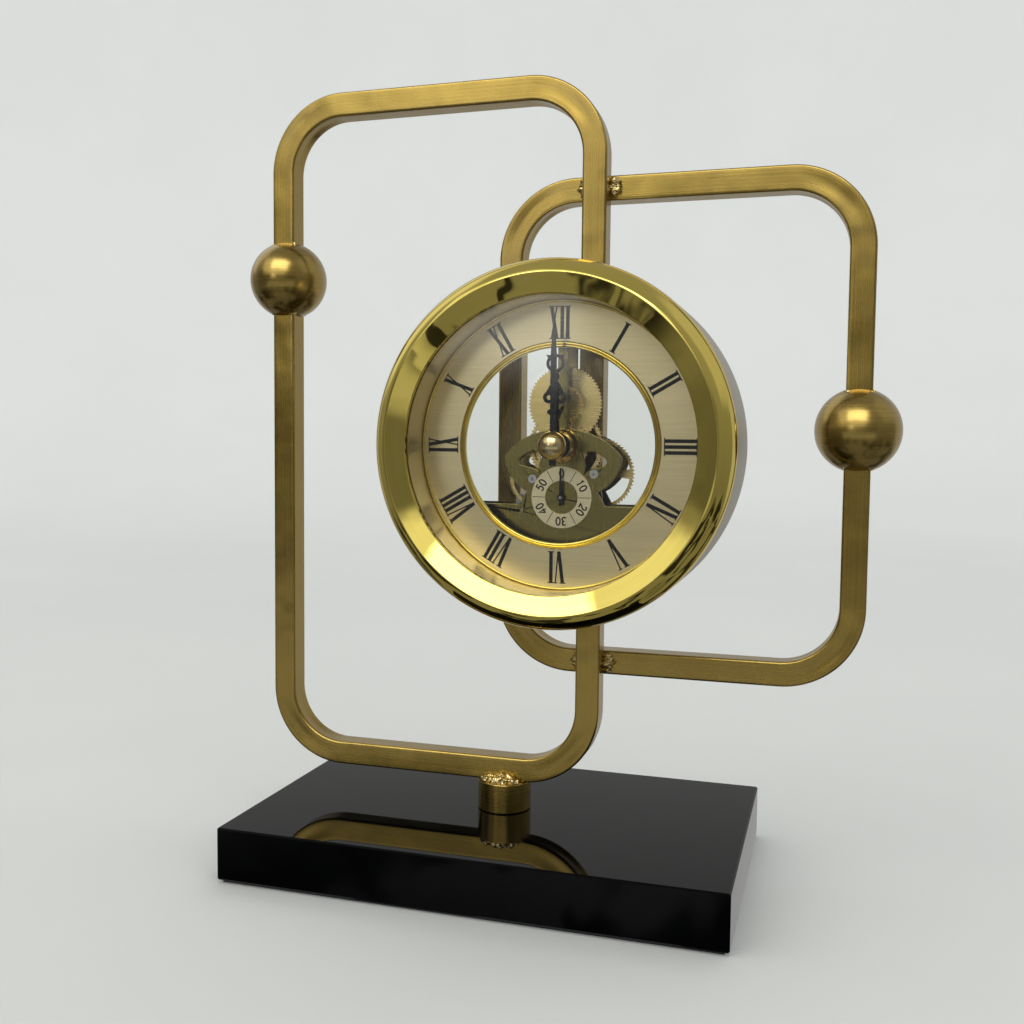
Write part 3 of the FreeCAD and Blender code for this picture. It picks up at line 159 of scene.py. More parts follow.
def felt(name):
    material, tree, shader = blank(name)
    coords = coordinates(tree, "object")
    fibres = streaks(tree, coords, (2600.0,) * 3, 6.0, 0.75)
    colour = ramp(tree, fibres, (0.006, 0.006, 0.007), (0.04, 0.04, 0.043))
    tree.links.new(colour, shader.inputs["Base Color"])
    tree.links.new(spread(tree, fibres, 0.85, 1.0), shader.inputs["Roughness"])
    shader.inputs["Sheen Weight"].default_value = 0.3
    bump = put(tree, "ShaderNodeBump", {"Height": fibres, "Strength": 1.0, "Distance": 0.0002})
    tree.links.new(bump.outputs[0], shader.inputs["Normal"])
    return material


GLASS_AHEAD, GLASS_SLANT = 0.03, 0.9        # share of light mirrored, seen straight on and edge on


def clear_glass(name):
    """Thin flat glass: lets lamps through, and mirrors a little more at a slant. Smears vary its gloss."""
    material, tree, shader = blank(name)
    tree.nodes.remove(shader)
    smear = streaks(tree, coordinates(tree, "object"), (35.0,) * 3, 3.0)
    mirror = put(tree, "ShaderNodeBsdfGlossy", {"Color": (1, 1, 1, 1),
                                                "Roughness": spread(tree, smear, 0.0, 0.04)})
    through = put(tree, "ShaderNodeBsdfTransparent", {"Color": (0.985, 0.99, 0.985, 1)})
    facing = put(tree, "ShaderNodeLayerWeight", {"Blend": 0.5}).outputs["Facing"]
    steep = put(tree, "ShaderNodeMath", {0: facing, 1: 5.0}, operation="POWER").outputs[0]
    share = put(tree, "ShaderNodeMapRange", {"Value": steep, "To Min": GLASS_AHEAD,
                                             "To Max": GLASS_SLANT}).outputs[0]
    both = put(tree, "ShaderNodeMixShader", {0: share, 1: through.outputs[0], 2: mirror.outputs[0]})
    tree.links.new(both.outputs[0], tree.nodes["Material Output"].inputs["Surface"])
    return material


def winding(name):
    """Enamelled wire, wound side by side along x."""
    material, tree, shader = blank(name)
    coords = coordinates(tree, "object")
    wires = put(tree, "ShaderNodeTexWave", {"Vector": coords, "Scale": 1100.0, "Distortion": 0.6},
                wave_type="BANDS", bands_direction="X").outputs["Fac"]
    colour = ramp(tree, wires, (0.25, 0.06, 0.015), (0.75, 0.3, 0.1), 0.1, 0.9)
    tree.links.new(colour, shader.inputs["Base Color"])
    tree.links.new(spread(tree, wires, 0.4, 0.22, 0.0, 1.0), shader.inputs["Roughness"])
    shader.inputs["Metallic"].default_value = 0.8
    bump = put(tree, "ShaderNodeBump", {"Height": wires, "Strength": 1.0, "Distance": 0.00006})
    tree.links.new(bump.outputs[0], shader.inputs["Normal"])
    return material


FINISH = {
    "base_black": gloss("base_black", (0.0006, 0.0007, 0.0009), (0.0016, 0.0018, 0.002), (0.01, 0.04), 90.0,
                        specular=0.12),
    "felt_black": felt("felt_black"),
    "zinc_steel": metal(
        "zinc_steel", (0.38, 0.38, 0.37), (0.6, 0.6, 0.58), (0.25, 0.4), (900.0,) * 3, relief=4e-6),
    "satin_gold": metal(
        "satin_gold", (0.34, 0.225, 0.042), (0.50, 0.355, 0.08), (0.2, 0.33), (14.0, 3000.0, 1.0),
        way="grain", relief=2.5e-6, along=0.7, lacquer=0.5, waves=0.0009),
    "ball_gold": metal(
        "ball_gold", (0.34, 0.225, 0.045), (0.50, 0.355, 0.085), (0.2, 0.3), (60.0, 60.0, 1800.0),
        relief=2.5e-6, lacquer=0.6),
    "weld_gold": metal(
        "weld_gold", (0.5, 0.36, 0.1), (0.95, 0.78, 0.42), (0.08, 0.25), (1500.0,) * 3, relief=8e-5,
        clouds=500.0),
    "polished_gold": metal(
        "polished_gold", (0.80, 0.64, 0.14), (0.88, 0.71, 0.19), (0.01, 0.035), (30.0, 500.0, 1.0),
        way="grain", relief=1e-7, waves=0.0004),
    "drum_silver": metal(
        "drum_silver", (0.52, 0.50, 0.42), (0.66, 0.63, 0.54), (0.3, 0.42), (15.0, 3000.0, 1.0),
        way="grain", relief=2e-6, along=0.6),
    "clear_glass": clear_glass("clear_glass"),
    "dial_champagne": metal("dial_champagne", (0.72, 0.61, 0.34), (0.88, 0.76, 0.46), (0.28, 0.38),
                            (60.0, 60.0, 3500.0), relief=2e-6, clouds=25.0),
    "sub_dial": metal(
        "sub_dial", (0.74, 0.64, 0.40), (0.88, 0.78, 0.52), (0.33, 0.43), (2500.0,) * 3, relief=2e-6),
    "plate_brass": metal(
        "plate_brass", (0.235, 0.195, 0.062), (0.29, 0.245, 0.085), (0.2, 0.3), (1500.0, 50.0, 90.0),
        relief=1.5e-6),
    "pillar_brass": metal(
        "pillar_brass", (0.66, 0.51, 0.22), (0.84, 0.69, 0.36), (0.12, 0.22), (60.0, 3000.0, 60.0),
        relief=2e-6),
    "wheel_brass": metal(
        "wheel_brass", (0.70, 0.54, 0.21), (0.86, 0.69, 0.31), (0.2, 0.3), (90.0, 90.0, 2600.0),
        relief=1e-6),
    "arbor_steel": metal(
        "arbor_steel", (0.40, 0.39, 0.37), (0.62, 0.61, 0.58), (0.12, 0.22), (80.0, 2500.0, 80.0)),
    "hand_black": gloss("hand_black", (0.002, 0.002, 0.0025), (0.006, 0.006, 0.0065), (0.22, 0.35), 1500.0,
                        specular=0.25),
    "black_plastic": gloss("black_plastic", (0.010, 0.010, 0.011), (0.03, 0.03, 0.032), (0.35, 0.5), 1400.0,
                           relief=8e-6),
    "magnet_grey": metal(
        "magnet_grey", (0.10, 0.10, 0.105), (0.2, 0.2, 0.21), (0.45, 0.6), (2200.0,) * 3, relief=8e-6,
        metallic=0.7),
    "stator_steel": metal(
        "stator_steel", (0.32, 0.32, 0.32), (0.5, 0.5, 0.5), (0.3, 0.45), (60.0, 60.0, 1500.0),
        relief=3e-6),
    "coil_copper": winding("coil_copper"),
    "board_green": gloss(
        "board_green", (0.012, 0.07, 0.03), (0.03, 0.13, 0.06), (0.25, 0.4), 700.0, relief=1e-5),
    "cell_jacket": metal(
        "cell_jacket", (0.05, 0.06, 0.08), (0.09, 0.11, 0.14), (0.2, 0.32), (40.0, 900.0, 40.0),
        metallic=0.6),
}


# --- Carried-over CAD nodes ---
EDGED = {"front_plate": 0.22, "centre_nut": 0.15}       # never a wheel: a bevel also fills its tooth roots


def finish_nodes():
    for part in frame["record"]["subparts"]:
        thing = frame["nodes"][part["node"]]
        thing.data.materials.clear()
        thing.data.materials.append(FINISH[part["material_slot"]])
        if part["node"] in EDGED:
            thing.modifiers.new("joined", "WELD").merge_threshold = 1e-6
            edge = thing.modifiers.new("edge", "BEVEL")
            edge.width = EDGED[part["node"]] * MM
            edge.segments = 2
            edge.limit_method = "ANGLE"
            edge.angle_limit = math.radians(40)
            edge.harden_normals = True


# --- Mesh pieces ---
def piece(name, work, slot, body=BODY, replaces=(), smooth=35.0):
    """Turns a bmesh into a finished piece that rides on a body."""
    bmesh.ops.remove_doubles(work, verts=work.verts, dist=1e-7)
    bmesh.ops.recalc_face_normals(work, faces=work.faces)
    mesh = bpy.data.meshes.new(name)
    work.to_mesh(mesh)
    work.free()
    mesh.materials.append(FINISH[slot])
    for face in mesh.polygons:
        face.use_smooth = True
    mesh.set_sharp_from_angle(angle=math.radians(smooth))
    thing = bpy.data.objects.new(name, mesh)
    SCENE.collection.objects.link(thing)
    weighted = thing.modifiers.new("weighted", "WEIGHTED_NORMAL")
    weighted.keep_sharp = True
    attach(thing, body)
    if replaces:
        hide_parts(*replaces)
    return thing


def grid(rows, around, place, lengths):
    """A closed bmesh of rows by points around, with a map in metres along and around."""
    work = bmesh.new()
    layer = work.loops.layers.uv.new("grain")
    verts = [[work.verts.new(place(row, step)) for step in range(around)] for row in range(rows)]
    for row in range(rows):
        for step in range(around):
            following, beside = (row + 1) % rows, (step + 1) % around
            face = work.faces.new((verts[row][step], verts[row][beside], verts[following][beside],
                                   verts[following][step]))
            corners = ((row, step), (row, step + 1), (row + 1, step + 1), (row + 1, step))
            for loop, (at_row, at_step) in zip(face.loops, corners):
                loop[layer].uv = lengths(at_row, at_step)
    return work


def arc_points(start, stop, rise, steps=10):
    """Points from start to stop, bowed to the left of the line by rise."""
    start, stop = Vector(start), Vector(stop)
    chord = stop - start
    left = Vector((-chord.y, chord.x)).normalized()
    points = []
    for step in range(steps + 1):
        share = step / steps
        points.append(tuple(start + chord * share + left * rise * 4 * share * (1 - share)))
    return points


def soften(profile, radius=0.25):
    """Cuts each corner of a closed profile with three short faces, so that its edges catch the light."""
    out = []
    for index, corner in enumerate(profile):
        here = Vector(corner)
        before = Vector(profile[index - 1]) - here
        after = Vector(profile[(index + 1) % len(profile)]) - here
        if before.angle(after, 0) > math.radians(155):
            out.append(tuple(here))
            continue
        reach = min(radius, before.length / 3, after.length / 3)
        first, last = here + before.normalized() * reach, here + after.normalized() * reach
        for share in (0.0, 0.33, 0.67, 1.0):
            out.append(tuple(first.lerp(here, share).lerp(here.lerp(last, share), share)))
    return out


def turned(name, profile, slot, replaces=(), middle=HEAD, upright=False, body=BODY, around=256, edge=0.25):
    """A ring turned about the clock's axis from (radius, forward) millimetres, or about an upright axis."""
    profile = soften(profile, edge) if edge else profile
    count = len(profile)
    walked = [0.0]
    for index in range(count):
        step = Vector(profile[(index + 1) % count]) - Vector(profile[index])
        walked.append(walked[-1] + step.length * MM)
    mean = sum(radius for radius, _ in profile) / count * MM

    def place(row, step):
        radius, forward = profile[step]
        angle = 2 * math.pi * row / around
        across, up = radius * MM * math.sin(angle), radius * MM * math.cos(angle)
        if upright:
            return Vector((middle.x + across, middle.y - up, forward * MM))
        return Vector((middle.x + across, -forward * MM, middle.z + up))

    def lengths(row, step):
        return mean * 2 * math.pi * row / around, walked[step]

    work = grid(around, count, place, lengths)
    return piece(name, work, slot, body, replaces)


TUBE = 8.0
TUBE_EDGE = 0.75
BEND = 22.0
BEND_STEPS = 28
DISH = 0.28         # how far a tube's walls sink in at the middle of a bend


def loop_path(low, high):
    """(point, outward normal, share of bend) round a rounded rectangle, on the tube's middle."""
    bends = [(high[0] - BEND, high[1] - BEND, 0), (low[0] + BEND, high[1] - BEND, 90),
             (low[0] + BEND, low[1] + BEND, 180), (high[0] - BEND, low[1] + BEND, 270)]
    path = []
    for across, up, start in bends:
        for step in range(BEND_STEPS + 1):
            angle = math.radians(start + 90 * step / BEND_STEPS)
            normal = (math.cos(angle), math.sin(angle))
            bent = math.sin(math.pi * step / BEND_STEPS) ** 2
            path.append(((across + BEND * normal[0], up + BEND * normal[1]), normal, bent))
    return path


def tube_section():
    """(point, inward pull) round the square tube: rounded edges, and faces that can sink in."""
    half = TUBE / 2
    flat_half = half - TUBE_EDGE
    points = []
    for quarter in range(4):
        out = Vector((math.cos(math.pi / 2 * quarter), math.sin(math.pi / 2 * quarter)))
        side = Vector((-out.y, out.x))
        for share in (-0.75, -0.5, -0.25, 0.0, 0.25, 0.5, 0.75):
            sunk = -(math.cos(math.pi / 2 * share) ** 2)
            points.append((out * half + side * flat_half * share, out * sunk))
        centre = (out + side) * flat_half
        for step in range(5):
            angle = math.pi / 2 * (quarter + step / 4)
            corner = centre + Vector((math.cos(angle), math.sin(angle))) * TUBE_EDGE
            points.append((corner, Vector((0, 0))))
    return points


def make_loop(name, node):
    low, high = (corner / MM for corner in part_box(node))
    inset = TUBE / 2
    path = loop_path((low.x + inset, low.z + inset), (high.x - inset, high.z - inset))
    depth = (low.y + high.y) / 2
    section = tube_section()
    along = [0.0]
    for index in range(len(path)):
        step = Vector(path[(index + 1) % len(path)][0]) - Vector(path[index][0])
        along.append(along[-1] + step.length * MM)
    round_it = [0.0]
    for index in range(len(section)):
        step = section[(index + 1) % len(section)][0] - section[index][0]
        round_it.append(round_it[-1] + step.length * MM)

    def place(row, step):
        (across, up), normal, bent = path[row]
        out, back = section[step][0] + section[step][1] * DISH * bent
        return Vector((across + normal[0] * out, depth + back, up + normal[1] * out)) * MM

    work = grid(len(path), len(section), place, lambda row, step: (along[row], round_it[step]))
    return piece(name, work, "satin_gold", BODY, [node], 50.0)


# Sizes of the head, in millimetres: radii, and depths forward of the loops' middle plane
DRUM_RADIUS, DRUM_BORE, DRUM_FRONT = 55.0, 53.9, 36.0
FRAME_BACK, FRAME_FRONT = 5.2, 7.6
DIAL_BACK, DIAL_FRONT, DIAL_RADIUS = 24.6, 25.2, 46.0
REHAUT_FRONT = 37.8
SEAT_BORE, GLASS_BORE = 40.0, 41.7
SCREW_CIRCLE, SCREW_HOLE, SPACER_RADIUS = 46.6, 1.6, 3.4


def make_case():
    crest = arc_points((DRUM_RADIUS, DRUM_FRONT), (50.0, 43.0), -1.25, 14)
    inside = [(44.2, 40.4), (44.2, 39.2), (46.1, 39.2), (46.1, REHAUT_FRONT), (52.4, DRUM_FRONT),
              (52.4, 30.0), (DRUM_BORE, 30.0), (DRUM_BORE, DRUM_FRONT)]
    turned("bezel", crest + inside, "polished_gold", ["bezel"], edge=0.3)
    turned("drum_case", [(DRUM_RADIUS, 4.2), (DRUM_RADIUS, DRUM_FRONT), (54.0, DRUM_FRONT),
                         (54.0, FRAME_BACK), (51.0, FRAME_BACK), (51.0, 4.2)], "drum_silver", ["drum_case"])
    turned("rehaut_ring", [(44.3, DIAL_FRONT), (44.3, REHAUT_FRONT), (DIAL_RADIUS, REHAUT_FRONT),
                           (DIAL_RADIUS, 37.0), (45.1, 37.0), (45.1, DIAL_FRONT)],
           "dial_champagne", ["rehaut_ring"], edge=0.1)
    turned("dial_ring", [(30.6, DIAL_BACK), (30.6, DIAL_FRONT), (DIAL_RADIUS, DIAL_FRONT),
                         (DIAL_RADIUS, DIAL_BACK)], "dial_champagne", ["dial_ring"], edge=0.05)
    rim = [(43.4, DIAL_FRONT)] + arc_points((43.4, 25.6), (44.2, 25.6), 0.35, 6) + [(44.2, DIAL_FRONT)]
    turned("chapter_rim", rim, "polished_gold", ["chapter_rim"], edge=0)
    trim = [(31.7, DIAL_BACK), (31.7, 25.4)] + arc_points((31.6, 25.5), (30.9, 25.3), -0.45, 6)
    trim += arc_points((30.7, 25.4), (29.8, 25.6), -0.4, 6) + [(29.8, DIAL_BACK)]
    turned("opening_trim", trim, "polished_gold", ["opening_trim"], edge=0)
    turned("back_frame", [(SEAT_BORE, FRAME_FRONT), (SEAT_BORE, 6.2), (GLASS_BORE, 6.2),
                          (GLASS_BORE, FRAME_BACK), (DRUM_BORE, FRAME_BACK), (DRUM_BORE, FRAME_FRONT)],
           "drum_silver", ["back_frame"])
    dome = [(4.4 * math.cos(math.radians(lift)), 32.6 + 3.7 * math.sin(math.radians(lift)))
            for lift in range(0, 91, 6)]
    cap = [(0.85, 32.0), (4.1, 32.0)] + dome[:-1] + [(0.0, 36.3), (0.0, 33.2), (0.85, 33.2)]
    turned("hand_cap_dome", cap, "pillar_brass", ["hand_cap"], body="minute", around=96, edge=0)
    turned("post_collar", [(5.0, 18.0), (9.0, 18.0), (9.0, 28.0), (5.0, 28.0)], "satin_gold", ["post_collar"],
           middle=COLLAR, upright=True, around=128, edge=0.5)


def make_spacers():
    """Sleeves round the screws that hold the head to the loops."""
    reach = SCREW_CIRCLE * MM
    front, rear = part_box("front_loop"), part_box("rear_loop")
    count = 0
    posts = ((front[1].x - TUBE / 2 * MM, front[0].y), (rear[0].x + TUBE / 2 * MM, rear[0].y))
    for across, face in posts:
        rise = math.sqrt(reach ** 2 - (across - HEAD.x) ** 2)
        for way in (1, -1):
            count += 1
            back = -face / MM
            sleeve = [(SCREW_HOLE, back), (SPACER_RADIUS, back), (SPACER_RADIUS, FRAME_BACK),
                      (SCREW_HOLE, FRAME_BACK)]
            turned(f"head_spacer_{count}", sleeve, "satin_gold", ["head_spacers"] if count == 1 else (),
                   middle=Vector((across, 0, HEAD.z + way * rise)), around=48, edge=0.15)


# --- Welds ---
def bead(work, points, radii, seed, lump=0.35, rings=48, around=20):
    """A run of weld metal: a lumpy round bead along the points, closed at both ends."""
    origin = Vector((seed * 7.3, seed * 3.1, seed * 1.7))
    rows = []
    count = len(points) - 1
    for ring in range(rings + 1):
        share = ring / rings * count
        index = min(int(share), count - 1)
        part = share - index
        middle = Vector(points[index]).lerp(Vector(points[index + 1]), part)
        way = (Vector(points[index + 1]) - Vector(points[index])).normalized()
        side = way.orthogonal().normalized()
        up = way.cross(side)
        radius = radii[index] * (1 - part) + radii[index + 1] * part
        row = []
        for step in range(around):
            angle = 2 * math.pi * step / around
            out = side * math.cos(angle) + up * math.sin(angle)
            spot = middle + out * radius
            rough = noise.noise(spot * 0.9 + origin) + 0.5 * noise.noise(spot * 2.3 + origin)
            row.append(work.verts.new((middle + out * radius * (1 + lump * rough)) * MM))
        rows.append(row)
    for first, second in zip(rows, rows[1:]):
        for step in range(around):
            beside = (step + 1) % around
            work.faces.new((first[step], first[beside], second[beside], second[step]))
    work.faces.new(reversed(rows[0]))
    work.faces.new(rows[-1])


CROSSING_DEPTH = 3.7        # middle of the beads where the two loops cross


def make_welds():
    work = bmesh.new()
    top = (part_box("post_collar")[1] / MM).z
    for side, seed in ((-1, 1), (1, 5)):
        bow = [(-6.6, 5.2), (-4.5, 6.0), (-1.5, 6.3), (1.5, 6.2), (4.5, 5.8), (6.4, 5.2)]
        run = [(across, side * deep, top + 0.4) for across, deep in bow]
        bead(work, run, [0.8, 1.3, 1.7, 1.5, 1.4, 0.7], seed, 0.75)
        upper = [(across, side * (deep - 1.3), top + 1.3) for across, deep in bow[1:5]]
        bead(work, upper, [0.5, 1.1, 1.3, 0.5], seed + 2, 0.9)
    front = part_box("front_loop")[1].x / MM
    rear_low, rear_high = (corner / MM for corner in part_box("rear_loop"))
    for level, seed in ((rear_high.z - TUBE / 2, 11), (rear_low.z + TUBE / 2, 17)):
        for across, beside, shift in ((front, 1.1, 0), (front - TUBE, -0.6, 3)):
            run = [(across + beside, CROSSING_DEPTH, level + rise) for rise in (-3.0, 0.0, 3.0)]
            bead(work, run, [1.0, 2.5, 1.2], seed + shift, 0.6)
    piece("frame_welds", work, "weld_gold", BODY, ["frame_welds"], 180.0)


def make_brazes():
    work = bmesh.new()
    half = TUBE / 2 + 0.1
    for ball, seed in (("front_ball", 23), ("rear_ball", 31)):
        low, high = (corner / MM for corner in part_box(ball))
        middle = (low + high) / 2
        radius = (high.z - low.z) / 2
        for way in (1, -1):
            level = middle.z + way * (math.sqrt(radius ** 2 - half ** 2) - 0.35)
            ring = [(half, -half), (half, half), (-half, half), (-half, -half), (half, -half)]
            spots = [(middle.x + across, middle.y + deep, level) for across, deep in ring]
            bead(work, spots, [0.75, 0.6, 0.8, 0.65, 0.75], seed + way, 0.5, 72, 12)
    piece("ball_brazes", work, "weld_gold", BODY, ["ball_brazes"], 180.0)


# --- Printed numerals ---
THICK, THIN, SERIF = 1.1, 0.42, 0.32
ONE_PITCH = 1.75
NUMERAL_INNER, NUMERAL_HEIGHT = 32.4, 9.9


def bar(start, stop, width):
    """A stroke with level ends: four corners, width measured across the page."""
    half = width / 2
    return [(start[0] - half, start[1]), (start[0] + half, start[1]),
            (stop[0] + half, stop[1]), (stop[0] - half, stop[1])]


def serif(middle, level, width):
    low, high = (level, level + SERIF) if level == 0 else (level - SERIF, level)
    left, right = middle - width / 2, middle + width / 2
    return [(left, low), (right, low), (right, high), (left, high)]


def letter_strokes(letter, left):
    """(strokes, width) of I, V or X with its left edge at the given place."""
    top = NUMERAL_HEIGHT
    if letter == "I":
        middle = left + ONE_PITCH / 2
        shapes = [bar((middle, 0), (middle, top), THICK)]
        shapes += [serif(middle, level, ONE_PITCH + 0.25) for level in (0, top)]
        return shapes, ONE_PITCH
    if letter == "V":
        first, foot, last = left + 0.75, left + 2.05, left + 3.05
        shapes = [bar((first, top), (foot, 0), THICK), bar((last, top), (foot + 0.2, 0), THIN)]
        shapes += [serif(first, top, 1.9), serif(last, top, 1.3)]
        return shapes, 3.6
    first, last = left + 0.8, left + 2.5
    shapes = [bar((first, top), (last, 0), THICK), bar((last, top), (first, 0), THIN)]
    shapes += [serif(first, top, 1.75), serif(last, top, 1.3), serif(first, 0, 1.3), serif(last, 0, 1.75)]
    return shapes, 3.3


def flat_shapes(work, shapes, place, depth, thickness):
    """Outlines raised a little from a dial: a face in front and a wall round it."""
    for shape in shapes:
        back = [work.verts.new(place(point, depth)) for point in shape]
        front = [work.verts.new(place(point, depth + thickness)) for point in shape]
        work.faces.new(front)
        for index in range(len(shape)):
            beside = (index + 1) % len(shape)
            work.faces.new((back[index], back[beside], front[beside], front[index]))


def on_dial(middle, angle, foot):
    """Maps a flat drawing on to a dial, its foot towards the middle and its top outward."""
    outward = Vector((math.sin(angle), 0, math.cos(angle)))
    sideways = Vector((math.cos(angle), 0, -math.sin(angle)))

    def place(point, depth):
        spot = Vector((middle.x, 0, middle.z)) + (sideways * point[0] + outward * (foot + point[1])) * MM
        return Vector((spot.x, -depth * MM, spot.z))
    return place


def make_numerals():
    print_height = 0.05
    work = bmesh.new()
    for hour, text in enumerate(("XII", "I", "II", "III", "IV", "V", "VI", "VII", "VIII", "IX", "X", "XI")):
        shapes, left = [], 0.0
        for letter in text:
            strokes, width = letter_strokes(letter, left)
            shapes += strokes
            left += width
        centred = [[(across - left / 2, up) for across, up in shape] for shape in shapes]
        for layer, shape in enumerate(centred):
            flat_shapes(work, [shape], on_dial(HEAD, math.radians(30 * hour), NUMERAL_INNER), DIAL_FRONT,
                        print_height + 0.002 * layer)
    piece("hour_numerals", work, "hand_black")


DIGIT_HEIGHT, DIGIT_WIDTH, DIGIT_STROKE = 2.6, 1.5, 0.44


def ellipse(middle, reach, start, stop, steps=14):
    return [(middle[0] + reach[0] * math.cos(math.radians(start + (stop - start) * step / steps)),
             middle[1] + reach[1] * math.sin(math.radians(start + (stop - start) * step / steps)))
            for step in range(steps + 1)]


DIGITS = {
    "0": [ellipse((0.5, 0.5), (0.42, 0.46), 0, 360, 28)],
    "1": [[(0.2, 0.78), (0.5, 0.96), (0.5, 0.0)]],
    "2": [ellipse((0.5, 0.71), (0.38, 0.25), 170, -35, 12) + [(0.1, 0.04), (0.92, 0.04)]],
    "3": [ellipse((0.45, 0.73), (0.36, 0.23), 150, -80, 12)
          + ellipse((0.45, 0.27), (0.42, 0.25), 80, -150, 14)],
    "4": [[(0.68, 0.0), (0.68, 0.96), (0.08, 0.28), (0.95, 0.28)]],
    "5": [[(0.85, 0.94), (0.25, 0.94), (0.18, 0.55)] + ellipse((0.46, 0.32), (0.42, 0.3), 115, -150, 14)],
}


def ribbon(points, width):
    """Four-cornered pieces that follow a line with mitred joints."""
    closed = (Vector(points[0]) - Vector(points[-1])).length < 1e-6
    points = points[:-1] if closed else points
    count = len(points)
    edges = []
    for index in range(count):
        here = Vector(points[index])
        before = Vector(points[index - 1]) if index or closed else here
        after = Vector(points[(index + 1) % count]) if index < count - 1 or closed else here
        ways = [way.normalized() for way in (here - before, after - here) if way.length > 1e-6]
        way = sum(ways, Vector((0, 0))).normalized()
        across = Vector((-way.y, way.x))
        mitre = max(across.dot(Vector((-ways[0].y, ways[0].x))), 0.5)
        edges.append((here + across * width / 2 / mitre, here - across * width / 2 / mitre))
    last = count if closed else count - 1
    return [[tuple(edges[index][0]), tuple(edges[index][1]), tuple(edges[(index + 1) % count][1]),
             tuple(edges[(index + 1) % count][0])] for index in range(last)]


def make_seconds_print():
    front = 20.5
    foot = 6.15
    work = bmesh.new()
    for index, text in enumerate(("0", "10", "20", "30", "40", "50")):
        place = on_dial(SUB_DIAL, math.radians(60 * index), foot)
        pitch = DIGIT_WIDTH + 0.35
        for position, digit in enumerate(text):
            left = (position - len(text) / 2) * pitch + (pitch - DIGIT_WIDTH) / 2
            for line in DIGITS[digit]:
                scaled = [(left + across * DIGIT_WIDTH, up * DIGIT_HEIGHT) for across, up in line]
                flat_shapes(work, ribbon(scaled, DIGIT_STROKE), place, front, 0.04)
        divider = [[(-0.09, -0.8), (0.09, -0.8), (0.09, 3.2), (-0.09, 3.2)]]
        flat_shapes(work, divider, on_dial(SUB_DIAL, math.radians(60 * index + 30), foot), front, 0.04)
    piece("seconds_print", work, "hand_black")


# --- Studio ---
WALL_GLOW = 0.27        # light the far paper gives off itself, in place of lamps on the wall


def stage_material():
    material, tree, shader = blank("studio_paper")
    coords = coordinates(tree, "object")
    cloud = streaks(tree, coords, (3.0,) * 3, 3.0)
    colour = ramp(tree, cloud, (0.585, 0.595, 0.585), (0.615, 0.625, 0.612))
    tree.links.new(colour, shader.inputs["Base Color"])
    # Painted light: the paper glows, barely near the middle and more towards the far wall, in place of lamps
    # lighting the wall
    far = put(tree, "ShaderNodeVectorMath", {0: coords}, operation="LENGTH").outputs["Value"]
    glow = put(tree, "ShaderNodeMapRange", {"Value": far, "From Min": 0.15, "From Max": 2.4, "To Min": 0.03,
                                            "To Max": WALL_GLOW}, interpolation_type="SMOOTHSTEP").outputs[0]
    shader.inputs["Emission Color"].default_value = (0.98, 1.0, 0.995, 1)
    tree.links.new(glow, shader.inputs["Emission Strength"])
    shader.inputs["Roughness"].default_value = 0.9
    shader.inputs["Specular IOR Level"].default_value = 0.1
    return material


def make_stage():
    """A floor that sweeps up into a wall all round, so every view has the same seamless paper."""
    flat, curve, height, around = 1.3, 0.9, 2.2, 96
    profile = [(0.001, 0.0), (0.4, 0.0), (flat, 0.0)]
    profile += [(flat + curve * math.sin(math.radians(a)), curve * (1 - math.cos(math.radians(a))))
                for a in range(6, 91, 6)]
    profile += [(flat + curve, curve + height)]
    work = bmesh.new()
    turns = [2 * math.pi * step / around for step in range(around)]
    rows = [[work.verts.new((radius * math.cos(turn), radius * math.sin(turn), level)) for turn in turns]
            for radius, level in profile]
    for first, second in zip(rows, rows[1:]):
        for step in range(around):
            beside = (step + 1) % around
            work.faces.new((first[step], first[beside], second[beside], second[step]))
    work.faces.new(rows[0])
    bmesh.ops.recalc_face_normals(work, faces=work.faces)
    mesh = bpy.data.meshes.new("studio_sweep")
    work.to_mesh(mesh)
    work.free()
    for face in mesh.polygons:
        face.use_smooth = True
    mesh.materials.append(stage_material())
    sweep = bpy.data.objects.new("studio_sweep", mesh)
    SCENE.collection.objects.link(sweep)
    sweep.visible_glossy = False


def direction(azimuth, elevation):
    """Unit vector; azimuth 0 is straight out from the dial, positive to the right."""
    turn, lift = math.radians(azimuth), math.radians(elevation)
    return Vector((math.sin(turn) * math.cos(lift), -math.cos(turn) * math.cos(lift), math.sin(lift)))


def card(tree, ray, below, azimuth, elevation, half_width, half_height, soft, value):
    """A soft-edged panel of the room, seen in reflections: sizes are tangents of its half angles."""
    out = direction(azimuth, elevation)
    right = out.cross(Vector((0, 0, 1))).normalized()
    up = right.cross(out)

    def along(axis):
        return put(tree, "ShaderNodeVectorMath", {0: ray, 1: axis}, operation="DOT_PRODUCT").outputs["Value"]

    ahead = put(tree, "ShaderNodeMath", {0: along(out), 1: 0.001}, operation="MAXIMUM").outputs[0]
    shares = []
    for axis, half in ((right, half_width), (up, half_height)):
        slope = put(tree, "ShaderNodeMath", {0: along(axis), 1: ahead}, operation="DIVIDE").outputs[0]
        size = put(tree, "ShaderNodeMath", {0: slope}, operation="ABSOLUTE").outputs[0]
        share = put(tree, "ShaderNodeMapRange", {"Value": size, "From Min": half - soft / 2,
                                                 "From Max": half + soft / 2, "To Min": 1.0, "To Max": 0.0},
                    interpolation_type="SMOOTHSTEP")
        shares.append(share.outputs[0])
    inside = put(tree, "ShaderNodeMath", {0: shares[0], 1: shares[1]}, operation="MULTIPLY").outputs[0]
    return put(tree, "ShaderNodeMix", {"Factor": inside, "A": below, "B": value}).outputs[0]


